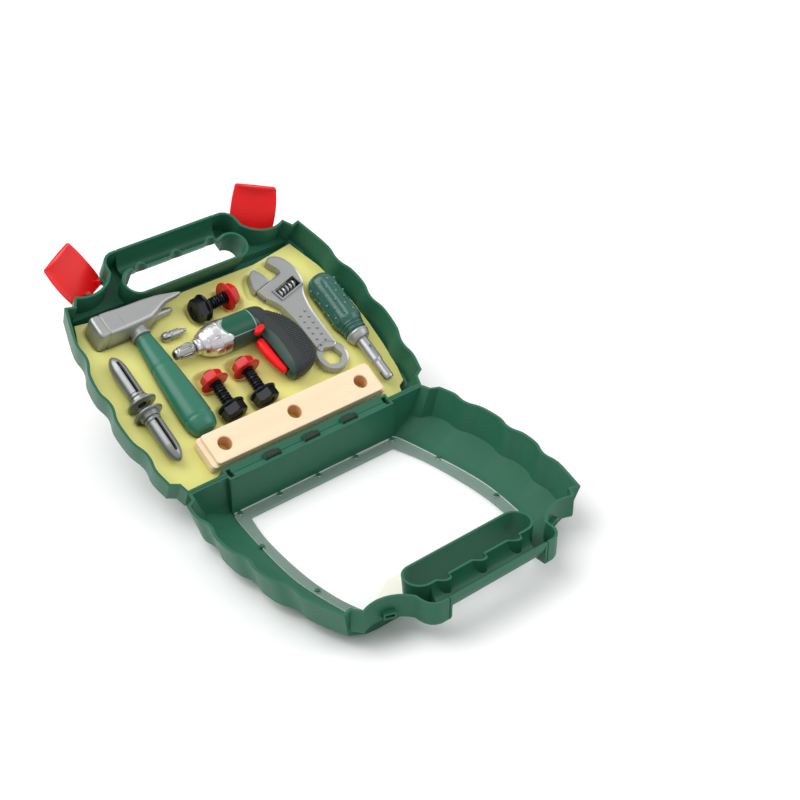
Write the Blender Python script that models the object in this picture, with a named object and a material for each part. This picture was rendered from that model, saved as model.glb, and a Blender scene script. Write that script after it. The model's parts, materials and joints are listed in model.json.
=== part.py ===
"""A toy tool box: a hinged case with a windowed lid, two snap latches, a formed insert and its tools.

Lengths are in metres. X runs along the hinge, the lid lies flat on the ground towards -Y, and the
tray half is swung open towards +Y. Each half of the case has a frame of its own: x along the hinge,
y away from it, z up out of the open side, with zero on the hinge's axis. Depths count down from it.
"""
import math

import bmesh
import bpy
from mathutils import Matrix, Vector

mm = 0.001
degree = math.radians(1)

# Gaps and cuts
fit_gap = 0.3 * mm
loose_gap = 1.0 * mm
overrun = 2.0 * mm
round_sides = 16
arc_steps = 4

# The case
case_half_width = 163 * mm
body_height = 222.7 * mm
lid_depth = 44.2 * mm
tray_depth = 34 * mm
wall = 2.5 * mm
rim_gap = 0.4 * mm
lid_crease_depth = 30 * mm
tray_crease_depth = 27 * mm
lid_crease_inset = 8 * mm
tray_crease_inset = 4 * mm
tray_floor_inset = 11 * mm
scoop_sagitta = 4.8 * mm
chamfer_bulge = 2.6 * mm
open_tilt = 29.07 * degree
origin_line = 12 * mm
# Corners of the outline, from the foot up to the shoulder: shares of half width and body height
rim_shares = [(0.871, 0.001), (0.888, 0.045), (0.942, 0.065), (0.971, 0.159), (0.991, 0.291),
              (0.999, 0.433), (0.993, 0.560), (0.977, 0.674), (0.945, 0.805), (0.861, 1.0),
              (0.806, 0.989)]
plate_shares = [(0.560, 0.016), (0.573, 0.050), (0.585, 0.085), (0.603, 0.161), (0.628, 0.291),
                (0.650, 0.433), (0.658, 0.560), (0.646, 0.673), (0.620, 0.802), (0.590, 0.961),
                (0.540, 0.961)]
scoop_starts = (3, 5, 7)
foot_inset_share = 0.086
top_inset_share = 0.024
scoop_tip_share = 0.62

# Feet and hinge
foot_inner = 97 * mm
recess_depth = 5 * mm
strip_half = 92 * mm
strip_depth = 8 * mm
strip_thickness = 2.5 * mm
hinge_pitch = 46.7 * mm
hook_width = 13 * mm
ear_width = 2.5 * mm
bar_radius = 1.8 * mm
hook_wall = 1.5 * mm
ear_radius = 3.6 * mm
hook_opening = 72 * degree
hook_mouth = -96 * degree

# Handle and shoulders: corners are measured in from the case's side and up from the body's top
hole_reach = (92 * mm, -0.7 * mm)
hole_half = case_half_width - hole_reach[0]
hole_centre = body_height + hole_reach[1]
hole_radius = 13.5 * mm
hole_draft = 5.5 * mm
groove_depth = 6 * mm
groove_width = 15 * mm
groove_places = (-44 * mm, -2 * mm, 40 * mm)
grip_rise = 40 * mm
grip_outer = body_height + grip_rise
lid_grip_depth = 19 * mm
tray_grip_depth = 23 * mm
lid_shoulder_depth = 25 * mm
tray_shoulder_depth = 28 * mm
shoulder_edge = 4 * mm
shoulder_drop = 16.7 * mm
shoulder_root = body_height - shoulder_drop
notch_reach = (31.6 * mm, -2.5 * mm)
pad_corner_reach = (38.4 * mm, 7.1 * mm)
pad_end_reach = (83.5 * mm, 18.8 * mm)
pad_radius = 34.5 * mm
post_corner_reach = (86.7 * mm, 34.3 * mm)
post_top_reach = 93 * mm
post_reach = 105.5 * mm
post_top = case_half_width - post_top_reach
post_half = case_half_width - post_reach
notch_corner = (case_half_width - notch_reach[0], body_height + notch_reach[1])
pad_corner = (case_half_width - pad_corner_reach[0], body_height + pad_corner_reach[1])
pad_end = (case_half_width - pad_end_reach[0], body_height + pad_end_reach[1])
post_corner = (case_half_width - post_corner_reach[0], body_height + post_corner_reach[1])

# Window
window_shares = [(0.541, 0.088), (0.592, 0.233), (0.620, 0.404), (0.629, 0.593), (0.605, 0.763),
                 (0.546, 0.912)]
frame_thickness = 3.2 * mm
pane_thickness = 1.5 * mm
pane_margin = 6.5 * mm
pane_low = 8 * mm
pane_drop = 14.2 * mm
pane_high = body_height - pane_drop
stud_row = 11.5 * mm
stud_side_shares = [(0.664, 0.290), (0.666, 0.655)]
stud_radius = 2.6 * mm
stud_stem = 1.5 * mm
stud_head = 1.2 * mm
label_thickness = 0.5 * mm
label_drops = [(-88 * mm, 21.2 * mm), (44 * mm, 21.2 * mm), (43 * mm, 26.7 * mm), (-48 * mm, 51.7 * mm),
               (-90 * mm, 27.7 * mm)]
label_corners = [(across, body_height - drop) for across, drop in label_drops]

# Latches
latch_start_reach = (88 * mm, 35.8 * mm)
latch_end_reach = (46 * mm, 13.3 * mm)
latch_start = (case_half_width - latch_start_reach[0], body_height + latch_start_reach[1])
latch_end = (case_half_width - latch_end_reach[0], body_height + latch_end_reach[1])
latch_thickness = 2.4 * mm
latch_crown = 2.2 * mm
latch_front = 23.5 * mm
latch_back = 25 * mm
latch_corner = 8 * mm
latch_inner_half = 18.2 * mm
latch_outer_half = 22.9 * mm
latch_tip_share = 0.9
latch_pivot_depth = 19 * mm
latch_pivot_drop = 7.2 * mm
latch_lug_radius = 3.2 * mm
latch_lug_width = 2.6 * mm
latch_lug_place = 12 * mm
latch_pin_radius = 1.6 * mm
latch_tab_drop = 8 * mm
left_latch_open = 60 * degree
right_latch_open = 42 * degree
striker_width = 12 * mm
striker_height = 6.5 * mm
striker_wall = 1.8 * mm
striker_rise = 5 * mm
striker_depth = 17 * mm
striker_reach = 66 * mm
striker_place = case_half_width - striker_reach

# Insert
insert_thickness = 1.0 * mm
insert_depth = 24 * mm
pocket_depth = 30.5 * mm
tray_floor = 31.8 * mm
pocket_draft = 1.5 * mm
pocket_radius = 6 * mm

# Hammer
hammer_depth = 17 * mm
head_line = 190.5 * mm
head_face = -127 * mm
head_tip = -26.3 * mm
head_half = 13 * mm
head_round_share = 0.35
# Stations along the head: share of its length, half width, half height and side shift, as shares
head_shares = [(0.0, 0.80, 0.80, 0.0), (0.025, 1.0, 0.98, 0.0), (0.125, 1.0, 0.98, 0.0),
               (0.135, 0.92, 0.90, 0.0), (0.155, 0.92, 0.90, 0.0), (0.165, 1.0, 0.98, 0.0),
               (0.33, 0.97, 0.96, 0.0), (0.60, 0.93, 0.95, 0.02), (0.75, 0.72, 0.92, 0.20),
               (0.88, 0.47, 0.86, 0.30), (0.97, 0.28, 0.80, 0.30), (1.0, 0.12, 0.72, 0.28)]
claw_slot = 5 * mm
claw_root_share = 0.70
handle_line = -80 * mm
handle_top = 171 * mm
handle_end = 55 * mm
handle_half = 15.5 * mm
handle_flat_share = 0.82
handle_shares = [(0.0, 0.58), (0.10, 0.64), (0.31, 0.78), (0.32, 0.75), (0.33, 0.75), (0.34, 0.80),
                 (0.60, 0.93), (0.84, 1.0), (0.85, 0.96), (0.86, 0.96), (0.87, 1.0), (0.95, 0.90),
                 (0.985, 0.76), (1.0, 0.55)]
spigot_radius = 5.5 * mm
spigot_length = 16 * mm
collar_radius = 9.5 * mm
collar_length = 6 * mm

# Wall plugs
plug_line = -122 * mm
plug_radius = 8.3 * mm
plug_flange_radius = 15.2 * mm
plug_flange = 3 * mm
plug_length = 58 * mm
plug_places = ((104.5 * mm, 1), (96 * mm, -1))
plug_hex_radius = 5.4 * mm
plug_bore_depth = 44 * mm
plug_slot = 3 * mm
plug_slot_start = 12 * mm
plug_slot_end = 47 * mm
plug_shares = [(0.0, 1.0), (0.10, 1.0), (0.12, 0.90), (0.15, 0.90), (0.17, 1.0), (0.20, 1.0),
               (0.22, 0.90), (0.25, 0.90), (0.27, 1.0), (0.70, 1.0), (0.84, 0.88), (0.95, 0.60),
               (1.0, 0.30)]

# Screwdriver bit
bit_start = -61 * mm
bit_length = 28 * mm
bit_line = 164 * mm
bit_radius = 5 * mm
bit_depth = 20.6 * mm
bit_slot = 1.4 * mm
bit_slot_depth = 4 * mm
bit_shares = [(0.0, 0.55), (0.05, 0.85), (0.14, 1.0), (0.26, 1.0), (0.28, 0.76), (0.34, 0.76),
              (0.36, 0.92), (0.70, 0.92), (0.72, 0.55), (0.86, 0.55), (0.88, 0.36), (1.0, 0.30)]

# Bolts and nuts
bolt_hex_radius = 12.1 * mm
bolt_head = 10 * mm
bolt_flange_radius = 14.3 * mm
bolt_flange = 2.4 * mm
bolt_radius = 6.3 * mm
bolt_length = 53 * mm
bolt_tip_chamfer = 1.2 * mm
nut_start = 39 * mm
nut_hex = 11.5 * mm
bolt_places = ((-16.5 * mm, 175.5 * mm, 4.6), (-43.5 * mm, 57 * mm, 90), (-5.5 * mm, 57 * mm, 90))

# Adjustable wrench: its outlines are taken from the worm, with x along the jaw's travel
wrench_place = (90.8 * mm, 163.3 * mm)
wrench_turn = 15.6
wrench_thickness = 10 * mm
wrench_depth = 15.7 * mm
mouth_base = 16.6 * mm
wrench_ring = (87 * mm, 75 * mm)
wrench_ring_radius = 17 * mm
wrench_ring_hex = 11.5 * mm
wrench_ring_arc = 148 * degree
wrench_right = [(99.5 * mm, 82 * mm), (99 * mm, 131 * mm), (102.7 * mm, 151 * mm), (112 * mm, 164 * mm)]
wrench_left = [(62 * mm, 160 * mm), (71 * mm, 149 * mm), (75 * mm, 125 * mm), (76.5 * mm, 82 * mm)]
fixed_jaw = [(26.6 * mm, 10.9 * mm), (24.6 * mm, 27 * mm), (19.5 * mm, 34 * mm), (13.5 * mm, 37.8 * mm),
             (6 * mm, 35.5 * mm), (11 * mm, 16.6 * mm)]
base_left = (-29.5 * mm, 16.6 * mm)
moving_jaw = [(-9.2 * mm, 16.9 * mm), (-8.6 * mm, 26 * mm), (-11.8 * mm, 37.3 * mm),
              (-17.5 * mm, 37 * mm), (-22.5 * mm, 33.6 * mm), (-30.4 * mm, 21 * mm),
              (-30.2 * mm, 16.9 * mm)]
worm_window = (30.4 * mm, 12 * mm)
worm_radius = 4.7 * mm
worm_core_share = 0.72
worm_rings = 5
worm_end_gap = 1.0 * mm
worm_pin_radius = 1.4 * mm
worm_pin_end = 3.5 * mm
rail_half_thickness = 2.2 * mm
rail_height = 5 * mm
rail_reach = 6 * mm
jaw_closing = 10 * mm
jaw_opening = 5 * mm
wrench_edge = 1.2 * mm

# Screwdriver
driver_line = 125 * mm
grip_top = 160 * mm
grip_bottom = 86 * mm
grip_radius = 15.4 * mm
grip_shares = [(0.0, 0.45), (0.02, 0.72), (0.06, 0.90), (0.13, 1.0), (0.50, 0.98), (0.80, 1.0),
               (0.88, 0.86), (0.93, 0.76), (1.0, 0.76)]
flute_count = 8
flute_radius = 3.2 * mm
flute_share = 0.11
ferrule_length = 8 * mm
ferrule_radius = 14 * mm
shaft_radius = 6.4 * mm
shaft_tip = 26 * mm
tang_length = 26 * mm
tip_shares = [(0.0, 1.0), (0.72, 1.0), (0.80, 0.84), (1.0, 0.78)]
tip_slot = 2.4 * mm
tip_slot_depth = 10 * mm

# Beam
beam_place = (7 * mm, 33 * mm)
beam_length = 211 * mm
beam_width = 35 * mm
beam_thickness = 16 * mm
beam_corner = 5 * mm
beam_step = 2.0 * mm
beam_step_height = 5 * mm
beam_round = 1.6 * mm
beam_hole_radius = 6.8 * mm
beam_hole_pitch = 83 * mm

# Power screwdriver: stations run along its barrel from the front of the chuck
tool_line = 138.5 * mm
tool_depth = 12.6 * mm
chuck_start = -65 * mm
chuck_length = 22.7 * mm
chuck_radius = 6.2 * mm
chuck_shares = [(0.0, 0.70), (0.08, 0.92), (0.85, 1.0), (1.0, 0.90)]
chuck_ribs = 6
chuck_rib_radius = 1.6 * mm
nose_start = -42 * mm
nose_end = -8 * mm
nose_radius = 17.2 * mm
nose_shares = [(0.0, 0.42), (0.05, 0.50), (0.20, 0.58), (0.45, 0.74), (0.68, 0.94), (0.74, 1.0),
               (1.0, 1.0)]
barrel_end = 41 * mm
barrel_radius = 17 * mm
barrel_shares = [(0.0, 1.0), (0.45, 0.97), (0.75, 0.92), (0.93, 0.78), (1.0, 0.60)]
spindle_radius = 2.5 * mm
spindle_bore = 12 * mm
# The pistol grip: centre, half width, half thickness and turn at stations down its length
grip_stations = [((38 * mm, 139 * mm), 14 * mm, 14.5 * mm, -10),
                 ((43 * mm, 124 * mm), 18.5 * mm, 15 * mm, -4),
                 ((45.5 * mm, 106 * mm), 18.5 * mm, 15 * mm, 0),
                 ((46 * mm, 90 * mm), 18 * mm, 14.5 * mm, 3),
                 ((43.5 * mm, 75 * mm), 15.5 * mm, 13.5 * mm, 10),
                 ((40 * mm, 65 * mm), 10.5 * mm, 10 * mm, 14)]
grip_skin = 3 * mm
grip_split_share = 0.10
trigger_front = [(26 * mm, 119 * mm), (18.5 * mm, 117 * mm), (19.5 * mm, 100 * mm), (25 * mm, 78 * mm),
                 (29.5 * mm, 76 * mm)]
trigger_back = [(31 * mm, 82 * mm), (29 * mm, 100 * mm)]
trigger_corners = trigger_front + trigger_back
trigger_half = 6 * mm
trigger_travel = 3.5 * mm
switch_place = (22 * mm, 123 * mm)
switch_size = (13 * mm, 6 * mm, 4 * mm)
switch_turn = 20
switch_travel = 2.5 * mm
motor_radius = 10 * mm
motor_length = 30 * mm
motor_start = -4 * mm
cell_radius = 5 * mm
cell_length = 40 * mm
cell_pitch = 10.4 * mm
cell_place = (45 * mm, 97 * mm)
door_size = (19 * mm, 36 * mm)
door_wall = 1.6 * mm
wire_half = 1.5 * mm


# Shape helpers

def add_object(name, mesh):
    thing = bpy.data.objects.new(name, mesh)
    bpy.context.scene.collection.objects.link(thing)
    return thing


def from_bmesh(name, shape):
    bmesh.ops.recalc_face_normals(shape, faces=shape.faces)
    mesh = bpy.data.meshes.new(name)
    shape.to_mesh(mesh)
    shape.free()
    return add_object(name, mesh)


def loft(name, rings):
    """A closed solid through rings of equally many points, with its ends filled."""
    shape = bmesh.new()
    loops = [[shape.verts.new(point) for point in ring] for ring in rings]
    for first, second in zip(loops, loops[1:]):
        for index, vert in enumerate(first):
            shape.faces.new((vert, first[index - 1], second[index - 1], second[index]))
    shape.faces.new(loops[0])
    shape.faces.new(reversed(loops[-1]))
    return from_bmesh(name, shape)


def prism(name, outline, low, high, grow_low=0.0, grow_high=0.0):
    """An outline in x and y, raised from low to high, and grown at either end."""
    return loft(name, [level(offset_loop(outline, grow_low), low),
                       level(offset_loop(outline, grow_high), high)])


def level(outline, height):
    return [(x, y, height) for x, y in outline]


def box(name, low, high):
    outline = [(low[0], low[1]), (high[0], low[1]), (high[0], high[1]), (low[0], high[1])]
    return prism(name, outline, low[2], high[2])


def circle(radius, count=round_sides, turn=0.0):
    angles = [turn + 2 * math.pi * index / count for index in range(count)]
    return [(radius * math.cos(angle), radius * math.sin(angle)) for angle in angles]


def turned(name, profile, count=round_sides, turn=0.0):
    """A solid turned about x, from pairs of place along x and radius."""
    return loft(name, [[(x, a, b) for a, b in circle(radius, count, turn)] for x, radius in profile])


def share_profile(shares, length, radius, start=0.0):
    return [(start + length * along, radius * size) for along, size in shares]


def offset_loop(outline, distance):
    """The outline with each side moved outwards by a distance, its corners kept as mitres."""
    if distance == 0:
        return list(outline)
    points = [Vector(point) for point in outline]
    area = sum(a.x * b.y - b.x * a.y for a, b in zip(points, points[1:] + points[:1]))
    side = distance if area > 0 else -distance
    moved = []
    for index, point in enumerate(points):
        before = (point - points[index - 1]).normalized()
        after = (points[(index + 1) % len(points)] - point).normalized()
        normal = Vector((before.y + after.y, -before.x - after.x))
        size = normal.length_squared / 2
        moved.append(tuple(point + normal * (side / max(size, 0.3))))
    return moved


def arc_between(start, end, sagitta, steps):
    """Points strictly between two ends, on the arc that dips to the left of their chord."""
    a, b = Vector(start), Vector(end)
    half = (b - a).length / 2
    radius = (half * half + sagitta * sagitta) / (2 * sagitta)
    along = (b - a).normalized()
    across = Vector((-along.y, along.x))
    points = []
    for step in range(1, steps):
        place = half * (2 * step / steps - 1)
        depth = math.sqrt(radius * radius - place * place) - (radius - sagitta)
        points.append(tuple((a + b) / 2 + along * place + across * depth))
    return points


def combine(target, tools, operation):
    """Cuts the tools from the target, or joins them to it, and takes the tools away."""
    for tool in tools:
        modifier = target.modifiers.new(operation.title(), "BOOLEAN")
        modifier.operation = operation
        modifier.object = tool
        modifier.solver = "EXACT"
        graph = bpy.context.evaluated_depsgraph_get()
        result = bpy.data.meshes.new_from_object(target.evaluated_get(graph))
        target.modifiers.clear()
        target.data = result
        bpy.data.objects.remove(tool)
    return target


def join(target, *tools):
    return combine(target, tools, "UNION")


def cut(target, *tools):
    return combine(target, tools, "DIFFERENCE")


def keep_inside(target, tool):
    return combine(target, [tool], "INTERSECT")


def copy_of(thing, name):
    return add_object(name, thing.data.copy())


def moved(thing, place=(0, 0, 0), turn=0.0, axis="Z"):
    """Turns a shape by degrees about an axis and then moves it, in its mesh."""
    thing.data.transform(Matrix.Translation(place) @ Matrix.Rotation(turn * degree, 4, axis))
    return thing


def flipped(thing):
    """The shape mirrored in x, for the part's left side."""
    thing.data.transform(Matrix.Scale(-1, 4, (1, 0, 0)))
    thing.data.flip_normals()
    return thing


def make_material(name, colour, roughness, metallic=0.0, alpha=1.0):
    material = bpy.data.materials.new(name)
    material.use_nodes = True
    shader = material.node_tree.nodes["Principled BSDF"]
    shader.inputs["Base Color"].default_value = (*colour, 1)
    shader.inputs["Roughness"].default_value = roughness
    shader.inputs["Metallic"].default_value = metallic
    shader.inputs["Alpha"].default_value = alpha
    return material


def finish(thing, parent, material, smooth=True):
    """Puts a finished solid in its frame, with its material and its shading."""
    thing.parent = parent
    thing.data.materials.clear()
    thing.data.materials.append(material)
    if smooth:
        thing.data.shade_smooth()
        thing.data.set_sharp_from_angle(angle=32 * degree)
    return thing


def add_frame(name, place, turn=(0, 0, 0), parent=None):
    frame = bpy.data.objects.new(name, None)
    frame.location = place
    frame.rotation_euler = turn
    frame.parent = parent
    bpy.context.scene.collection.objects.link(frame)
    return frame


# Outlines of the case

def both_sides(right):
    """A whole outline from its right half, which starts at the foot."""
    return right + [(-x, y) for x, y in reversed(right)]


def corner_points(shares):
    return [(x * case_half_width, y * body_height) for x, y in shares]


def with_scoops(corners, sagitta, gather):
    """Adds the points of each finger scoop, drawn in to its middle where gather is above zero."""
    points = []
    for index, corner in enumerate(corners):
        points.append(corner)
        if index in scoop_starts:
            after = corners[index + 1]
            middle = ((corner[0] + after[0]) / 2, (corner[1] + after[1]) / 2)
            for place in arc_between(corner, after, max(sagitta, fit_gap), arc_steps):
                points.append(tuple(p + (m - p) * gather for p, m in zip(place, middle)))
    return points


def side_inset(corners, inset, ends_too):
    """The right side moved in, with the foot and the shoulder drawn in as the moulding is."""
    moved_corners = []
    last = len(corners) - 1
    for index, (x, y) in enumerate(corners):
        share = max(0.0, 1 - index / 3) * foot_inset_share / 2 if ends_too else 0.0
        top = top_inset_share * body_height if ends_too and index >= last - 1 else 0.0
        moved_corners.append((x - inset - share * case_half_width, y - top))
    return moved_corners


def blend_corners(first, second, share):
    return [(a[0] + (b[0] - a[0]) * share, a[1] + (b[1] - a[1]) * share) for a, b in zip(first, second)]


def lid_rings():
    """Right-hand corners of the lid's levels: rim, crease, scoop tips and front plate."""
    rim = corner_points(rim_shares)
    crease = side_inset(rim, lid_crease_inset, True)
    plate = corner_points(plate_shares)
    tips = blend_corners(crease, plate, scoop_tip_share)
    return [(rim, 1, 0), (crease, 1, 0), (tips, 0, 0.7), (plate, 0, 0)]


def tray_rings():
    """Right-hand corners of the tray's levels: rim, crease and back."""
    rim = corner_points(rim_shares)
    crease = side_inset(rim, tray_crease_inset, False)
    back = side_inset(rim, tray_floor_inset, True)
    return [(rim, 1, 0), (crease, 1, 0), (back, 0.3, 0.2)]


def shell_loft(name, rings, depths, inset=0.0):
    levels = []
    for (corners, scoop, gather), depth in zip(rings, depths):
        outline = both_sides(with_scoops(corners, scoop_sagitta * scoop, gather))
        levels.append(level(offset_loop(outline, -inset), -depth))
    return loft(name, levels)


def hole_outline(grow, draft, mirrored):
    """The finger hole: a stadium whose handle side has three finger grooves."""
    radius = hole_radius - draft / 2
    middle = hole_centre + draft / 2
    end = hole_half - hole_radius
    reach = radius + grow
    right = [(end + reach * math.cos(a), middle + reach * math.sin(a)) for a in arc_angles(-90, 90, 6)]
    left = [(-x, y) for x, y in reversed(right)]
    waves = []
    for place in sorted(groove_places, reverse=True):
        half = groove_width / 2
        top = middle + reach
        wave = [(half, 0), (half * 0.8, 0.75), (half * 0.2, 1), (-half * 0.5, 0.55), (-half, 0)]
        waves += [(place + x, top + groove_depth * y) for x, y in wave]
    if mirrored:
        waves = [(-x, y) for x, y in reversed(waves)]
    return right + waves + left


def arc_angles(start, end, steps):
    return [math.radians(start + (end - start) * step / steps) for step in range(steps + 1)]


def pad_arc(steps):
    """The concave pad under a latch, from its outer corner to the foot of the handle's post."""
    a, b = Vector(pad_corner), Vector(pad_end)
    half = (b - a).length / 2
    sagitta = pad_radius - math.sqrt(pad_radius * pad_radius - half * half)
    return arc_between(pad_corner, pad_end, sagitta, steps)


def shoulder_outline():
    """The right shoulder with its latch pad and the handle's post."""
    inner = post_half - overrun
    return [(inner, shoulder_root), (notch_corner[0], shoulder_root), notch_corner, pad_corner,
            *pad_arc(6), pad_end, post_corner, (post_top, grip_outer - fit_gap),
            (inner, grip_outer)]


def grip_section(depth, inset):
    """Half an oval across the grip, open side up, as places in y and z."""
    near = hole_centre + hole_radius + inset
    far = grip_outer - inset
    middle, half = (near + far) / 2, (far - near) / 2
    points = [(middle + half * math.cos(a), -(depth - inset) * math.sin(a)) for a in arc_angles(0, 180, 8)]
    return points


def grip_bar(name, depth, inset, half_length, rim):
    """The grip's bar or its hollow, along x, with its open edge at rim."""
    section = [(y, z + rim) for y, z in grip_section(depth, inset)]
    if inset:
        section = [(section[0][0], overrun)] + section + [(section[-1][0], overrun)]
    return loft(name, [[(x, y, z) for y, z in section] for x in (-half_length, half_length)])


# The two halves of the case

def half_shell(name, rings, depths, hollow, shoulder_depth, grip_depth, mirrored):
    """A moulded half: body, shoulders and grip, hollowed, with the finger hole and its wall."""
    rim = rim_gap / 2
    shell = shell_loft(name, rings, [rim] + depths)
    narrowed = offset_loop(shoulder_outline(), -shoulder_edge / 2)
    shoulder = loft("shoulder", [level(shoulder_outline(), -rim),
                                 level(shoulder_outline(), shoulder_edge - shoulder_depth),
                                 level(narrowed, -shoulder_depth)])
    left_shoulder = flipped(copy_of(shoulder, "left_shoulder"))
    grip = grip_bar("grip", grip_depth, 0.0, post_half, -rim)
    join(shell, shoulder, left_shoulder, grip)

    inner = offset_loop(shoulder_outline(), -wall)
    pocket = prism("pocket", inner, wall - shoulder_depth, overrun)
    left_pocket = flipped(copy_of(pocket, "left_pocket"))
    channel = grip_bar("channel", grip_depth, wall, post_half + overrun, -rim)
    join(hollow, pocket, left_pocket, channel)
    deepest = max(depths) + overrun
    ring = loft("ring", [level(hole_outline(wall, hole_draft, mirrored), -deepest),
                         level(hole_outline(wall, 0.0, mirrored), overrun + overrun)])
    heel = box("heel", (-foot_inner - wall, -overrun, -deepest),
               (foot_inner + wall, recess_depth + wall, overrun + overrun))
    cut(hollow, ring, heel)
    cut(shell, hollow)
    hole = loft("hole", [level(hole_outline(0.0, hole_draft, mirrored), -deepest),
                         level(hole_outline(0.0, 0.0, mirrored), overrun)])
    recess = box("recess", (-foot_inner, -overrun, -deepest),
                 (foot_inner, recess_depth, -rim - strip_thickness))
    corner_clear = box("corner_clear", (-foot_inner, -overrun, -strip_thickness - overrun),
                       (-strip_half, recess_depth, overrun))
    corner_clear_right = flipped(copy_of(corner_clear, "corner_clear_right"))
    return cut(shell, hole, recess, corner_clear, corner_clear_right)


def hinge_centres():
    return [-hinge_pitch, 0.0, hinge_pitch]


def barrel(name, radius, start, end, count=round_sides):
    """A plain cylinder along x, a facet facing each way."""
    return turned(name, [(start, radius), (end, radius)], count, math.pi / count)


def ear_places(centre):
    inner = hook_width / 2 + fit_gap
    return [(centre - inner - ear_width, centre - inner), (centre + inner, centre + inner + ear_width)]


def strap(name, start, end, radius, reach):
    """A short arm that carries an eye on the hinge's axis, rising out of the flange."""
    low = -rim_gap / 2 - strip_thickness
    eye = [(radius * math.cos(a), radius * math.sin(a)) for a in arc_angles(0, 270, 6)]
    outline = [(reach, low), (reach, -rim_gap / 2), (radius, -rim_gap / 2)] + eye[1:]
    return loft(name, [[(x, y, z) for y, z in outline] for x in (start, end)])


def add_hinge_bars(lid):
    """The lid's knuckles: two ears and a bar at each hook, with room for the hooks to turn."""
    reach = ear_radius + hook_wall
    for centre in hinge_centres():
        clear = bar_radius + fit_gap + hook_wall + fit_gap
        half = (hook_width + ear_width) / 2
        cut(lid, barrel("room", clear, centre - half, centre + half))
        for start, end in ear_places(centre):
            join(lid, strap("ear", start, end, ear_radius, reach))
        join(lid, barrel("bar", bar_radius, centre - half, centre + half))


def add_hinge_hooks(tray):
    """The tray's hooks: open eyes that snap over the lid's bars, and notches for its ears."""
    outer = bar_radius + fit_gap + hook_wall
    for centre in hinge_centres():
        half = hook_width / 2 + fit_gap + ear_width + fit_gap
        cut(tray, barrel("notch", ear_radius + fit_gap, centre - half, centre + half))
        start, end = centre - hook_width / 2, centre + hook_width / 2
        join(tray, strap("hook", start, end, outer, outer + hook_wall))
        cut(tray, barrel("eye", bar_radius + fit_gap, start - fit_gap, end + fit_gap))
        mouth = [(0.0, 0.0)] + [(2 * outer * math.cos(a), 2 * outer * math.sin(a))
                                for a in (hook_mouth - hook_opening, hook_mouth)]
        cut(tray, loft("mouth", [[(x, y, z) for y, z in mouth] for x in (start - fit_gap, end + fit_gap)]))


def hollow_loft(rings, depths, seat, floor):
    """The room inside a half, one wall in from its outside, down to a flat seat."""
    levels = []
    for (corners, scoop, gather), depth in zip(rings, depths):
        outline = both_sides(with_scoops(corners, scoop_sagitta * scoop, gather))
        levels.append(level(offset_loop(outline, -wall), -depth))
    levels.append(level(both_sides(with_scoops(seat, 0, 0)), -floor))
    return loft("hollow", levels)


def pane_seat(grow):
    """Right-hand corners of the pane's seat inside the front plate."""
    low, high = pane_low - grow, pane_high + grow
    return [(x + pane_margin + grow, min(max(y, low), high)) for x, y in corner_points(plate_shares)]


def window_outline():
    return both_sides([(x * case_half_width, y * body_height) for x, y in window_shares])


def stud_places():
    """The pins that hold the pane: five by the hinge and two down each side."""
    row = [(hinge_pitch * index, stud_row) for index in (-2, -1, 0, 1, 2)]
    sides = [(side * case_half_width * share, body_height * height)
             for side in (-1, 1) for share, height in stud_side_shares]
    return row + sides


def make_lid(parent, green):
    floor = lid_depth - frame_thickness
    tip_depth = lid_crease_depth + (lid_depth - lid_crease_depth) * scoop_tip_share + chamfer_bulge
    rings = lid_rings()
    hollow = hollow_loft(rings[:-1], [-overrun, lid_crease_depth - wall / 3, tip_depth - wall],
                         pane_seat(fit_gap), floor)
    lid = half_shell("lid_shell", rings, [lid_crease_depth, tip_depth, lid_depth],
                     hollow, lid_shoulder_depth, lid_grip_depth, True)
    cut(lid, prism("window", window_outline(), -lid_depth - overrun, -floor + overrun))
    strip = box("strip", (-strip_half, rim_gap / 2, -rim_gap / 2 - strip_thickness),
                (strip_half, strip_depth, -rim_gap / 2))
    join(lid, strip)
    add_hinge_bars(lid)
    for x, y in stud_places():
        stem_top = -floor + fit_gap + pane_thickness + fit_gap
        stem = prism("stem", circle(stud_stem, 8), -floor - overrun / 2, stem_top + stud_head / 2)
        head = prism("head", circle(stud_radius, 8), stem_top, stem_top + stud_head, 0.0, -stud_head / 2)
        join(lid, moved(join(stem, head), (x, y, 0)))
    for side in (-1, 1):
        striker = make_striker()
        join(lid, flipped(striker) if side < 0 else striker)
    for side in (-1, 1):
        socket = striker_socket()
        cut(lid, flipped(socket) if side < 0 else socket)
    return finish(lid, parent, green)


def striker_frame():
    """Place and turn of the frame that the latch snaps over, on the pad's arc."""
    a, b = Vector(pad_corner), Vector(pad_end)
    middle, half = (a + b) / 2, (b - a).length / 2
    along = (b - a).normalized()
    across = Vector((along.y, -along.x))
    centre = middle + across * math.sqrt(pad_radius * pad_radius - half * half)
    angle = math.asin((striker_place - centre.x) / pad_radius)
    place = (striker_place, centre.y - pad_radius * math.cos(angle), -striker_depth)
    return place, math.degrees(angle)


def make_striker():
    place, turn = striker_frame()
    half_x, half_z = striker_width / 2, striker_height / 2
    block = box("striker", (-half_x, -wall / 2, -half_z), (half_x, striker_rise, half_z))
    return moved(block, place, turn)


def striker_socket():
    place, turn = striker_frame()
    half_x, half_z = striker_width / 2 - striker_wall, striker_height / 2 - striker_wall
    block = box("socket", (-half_x, -wall - overrun, -half_z), (half_x, striker_rise + overrun, half_z))
    return moved(block, place, turn)


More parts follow.
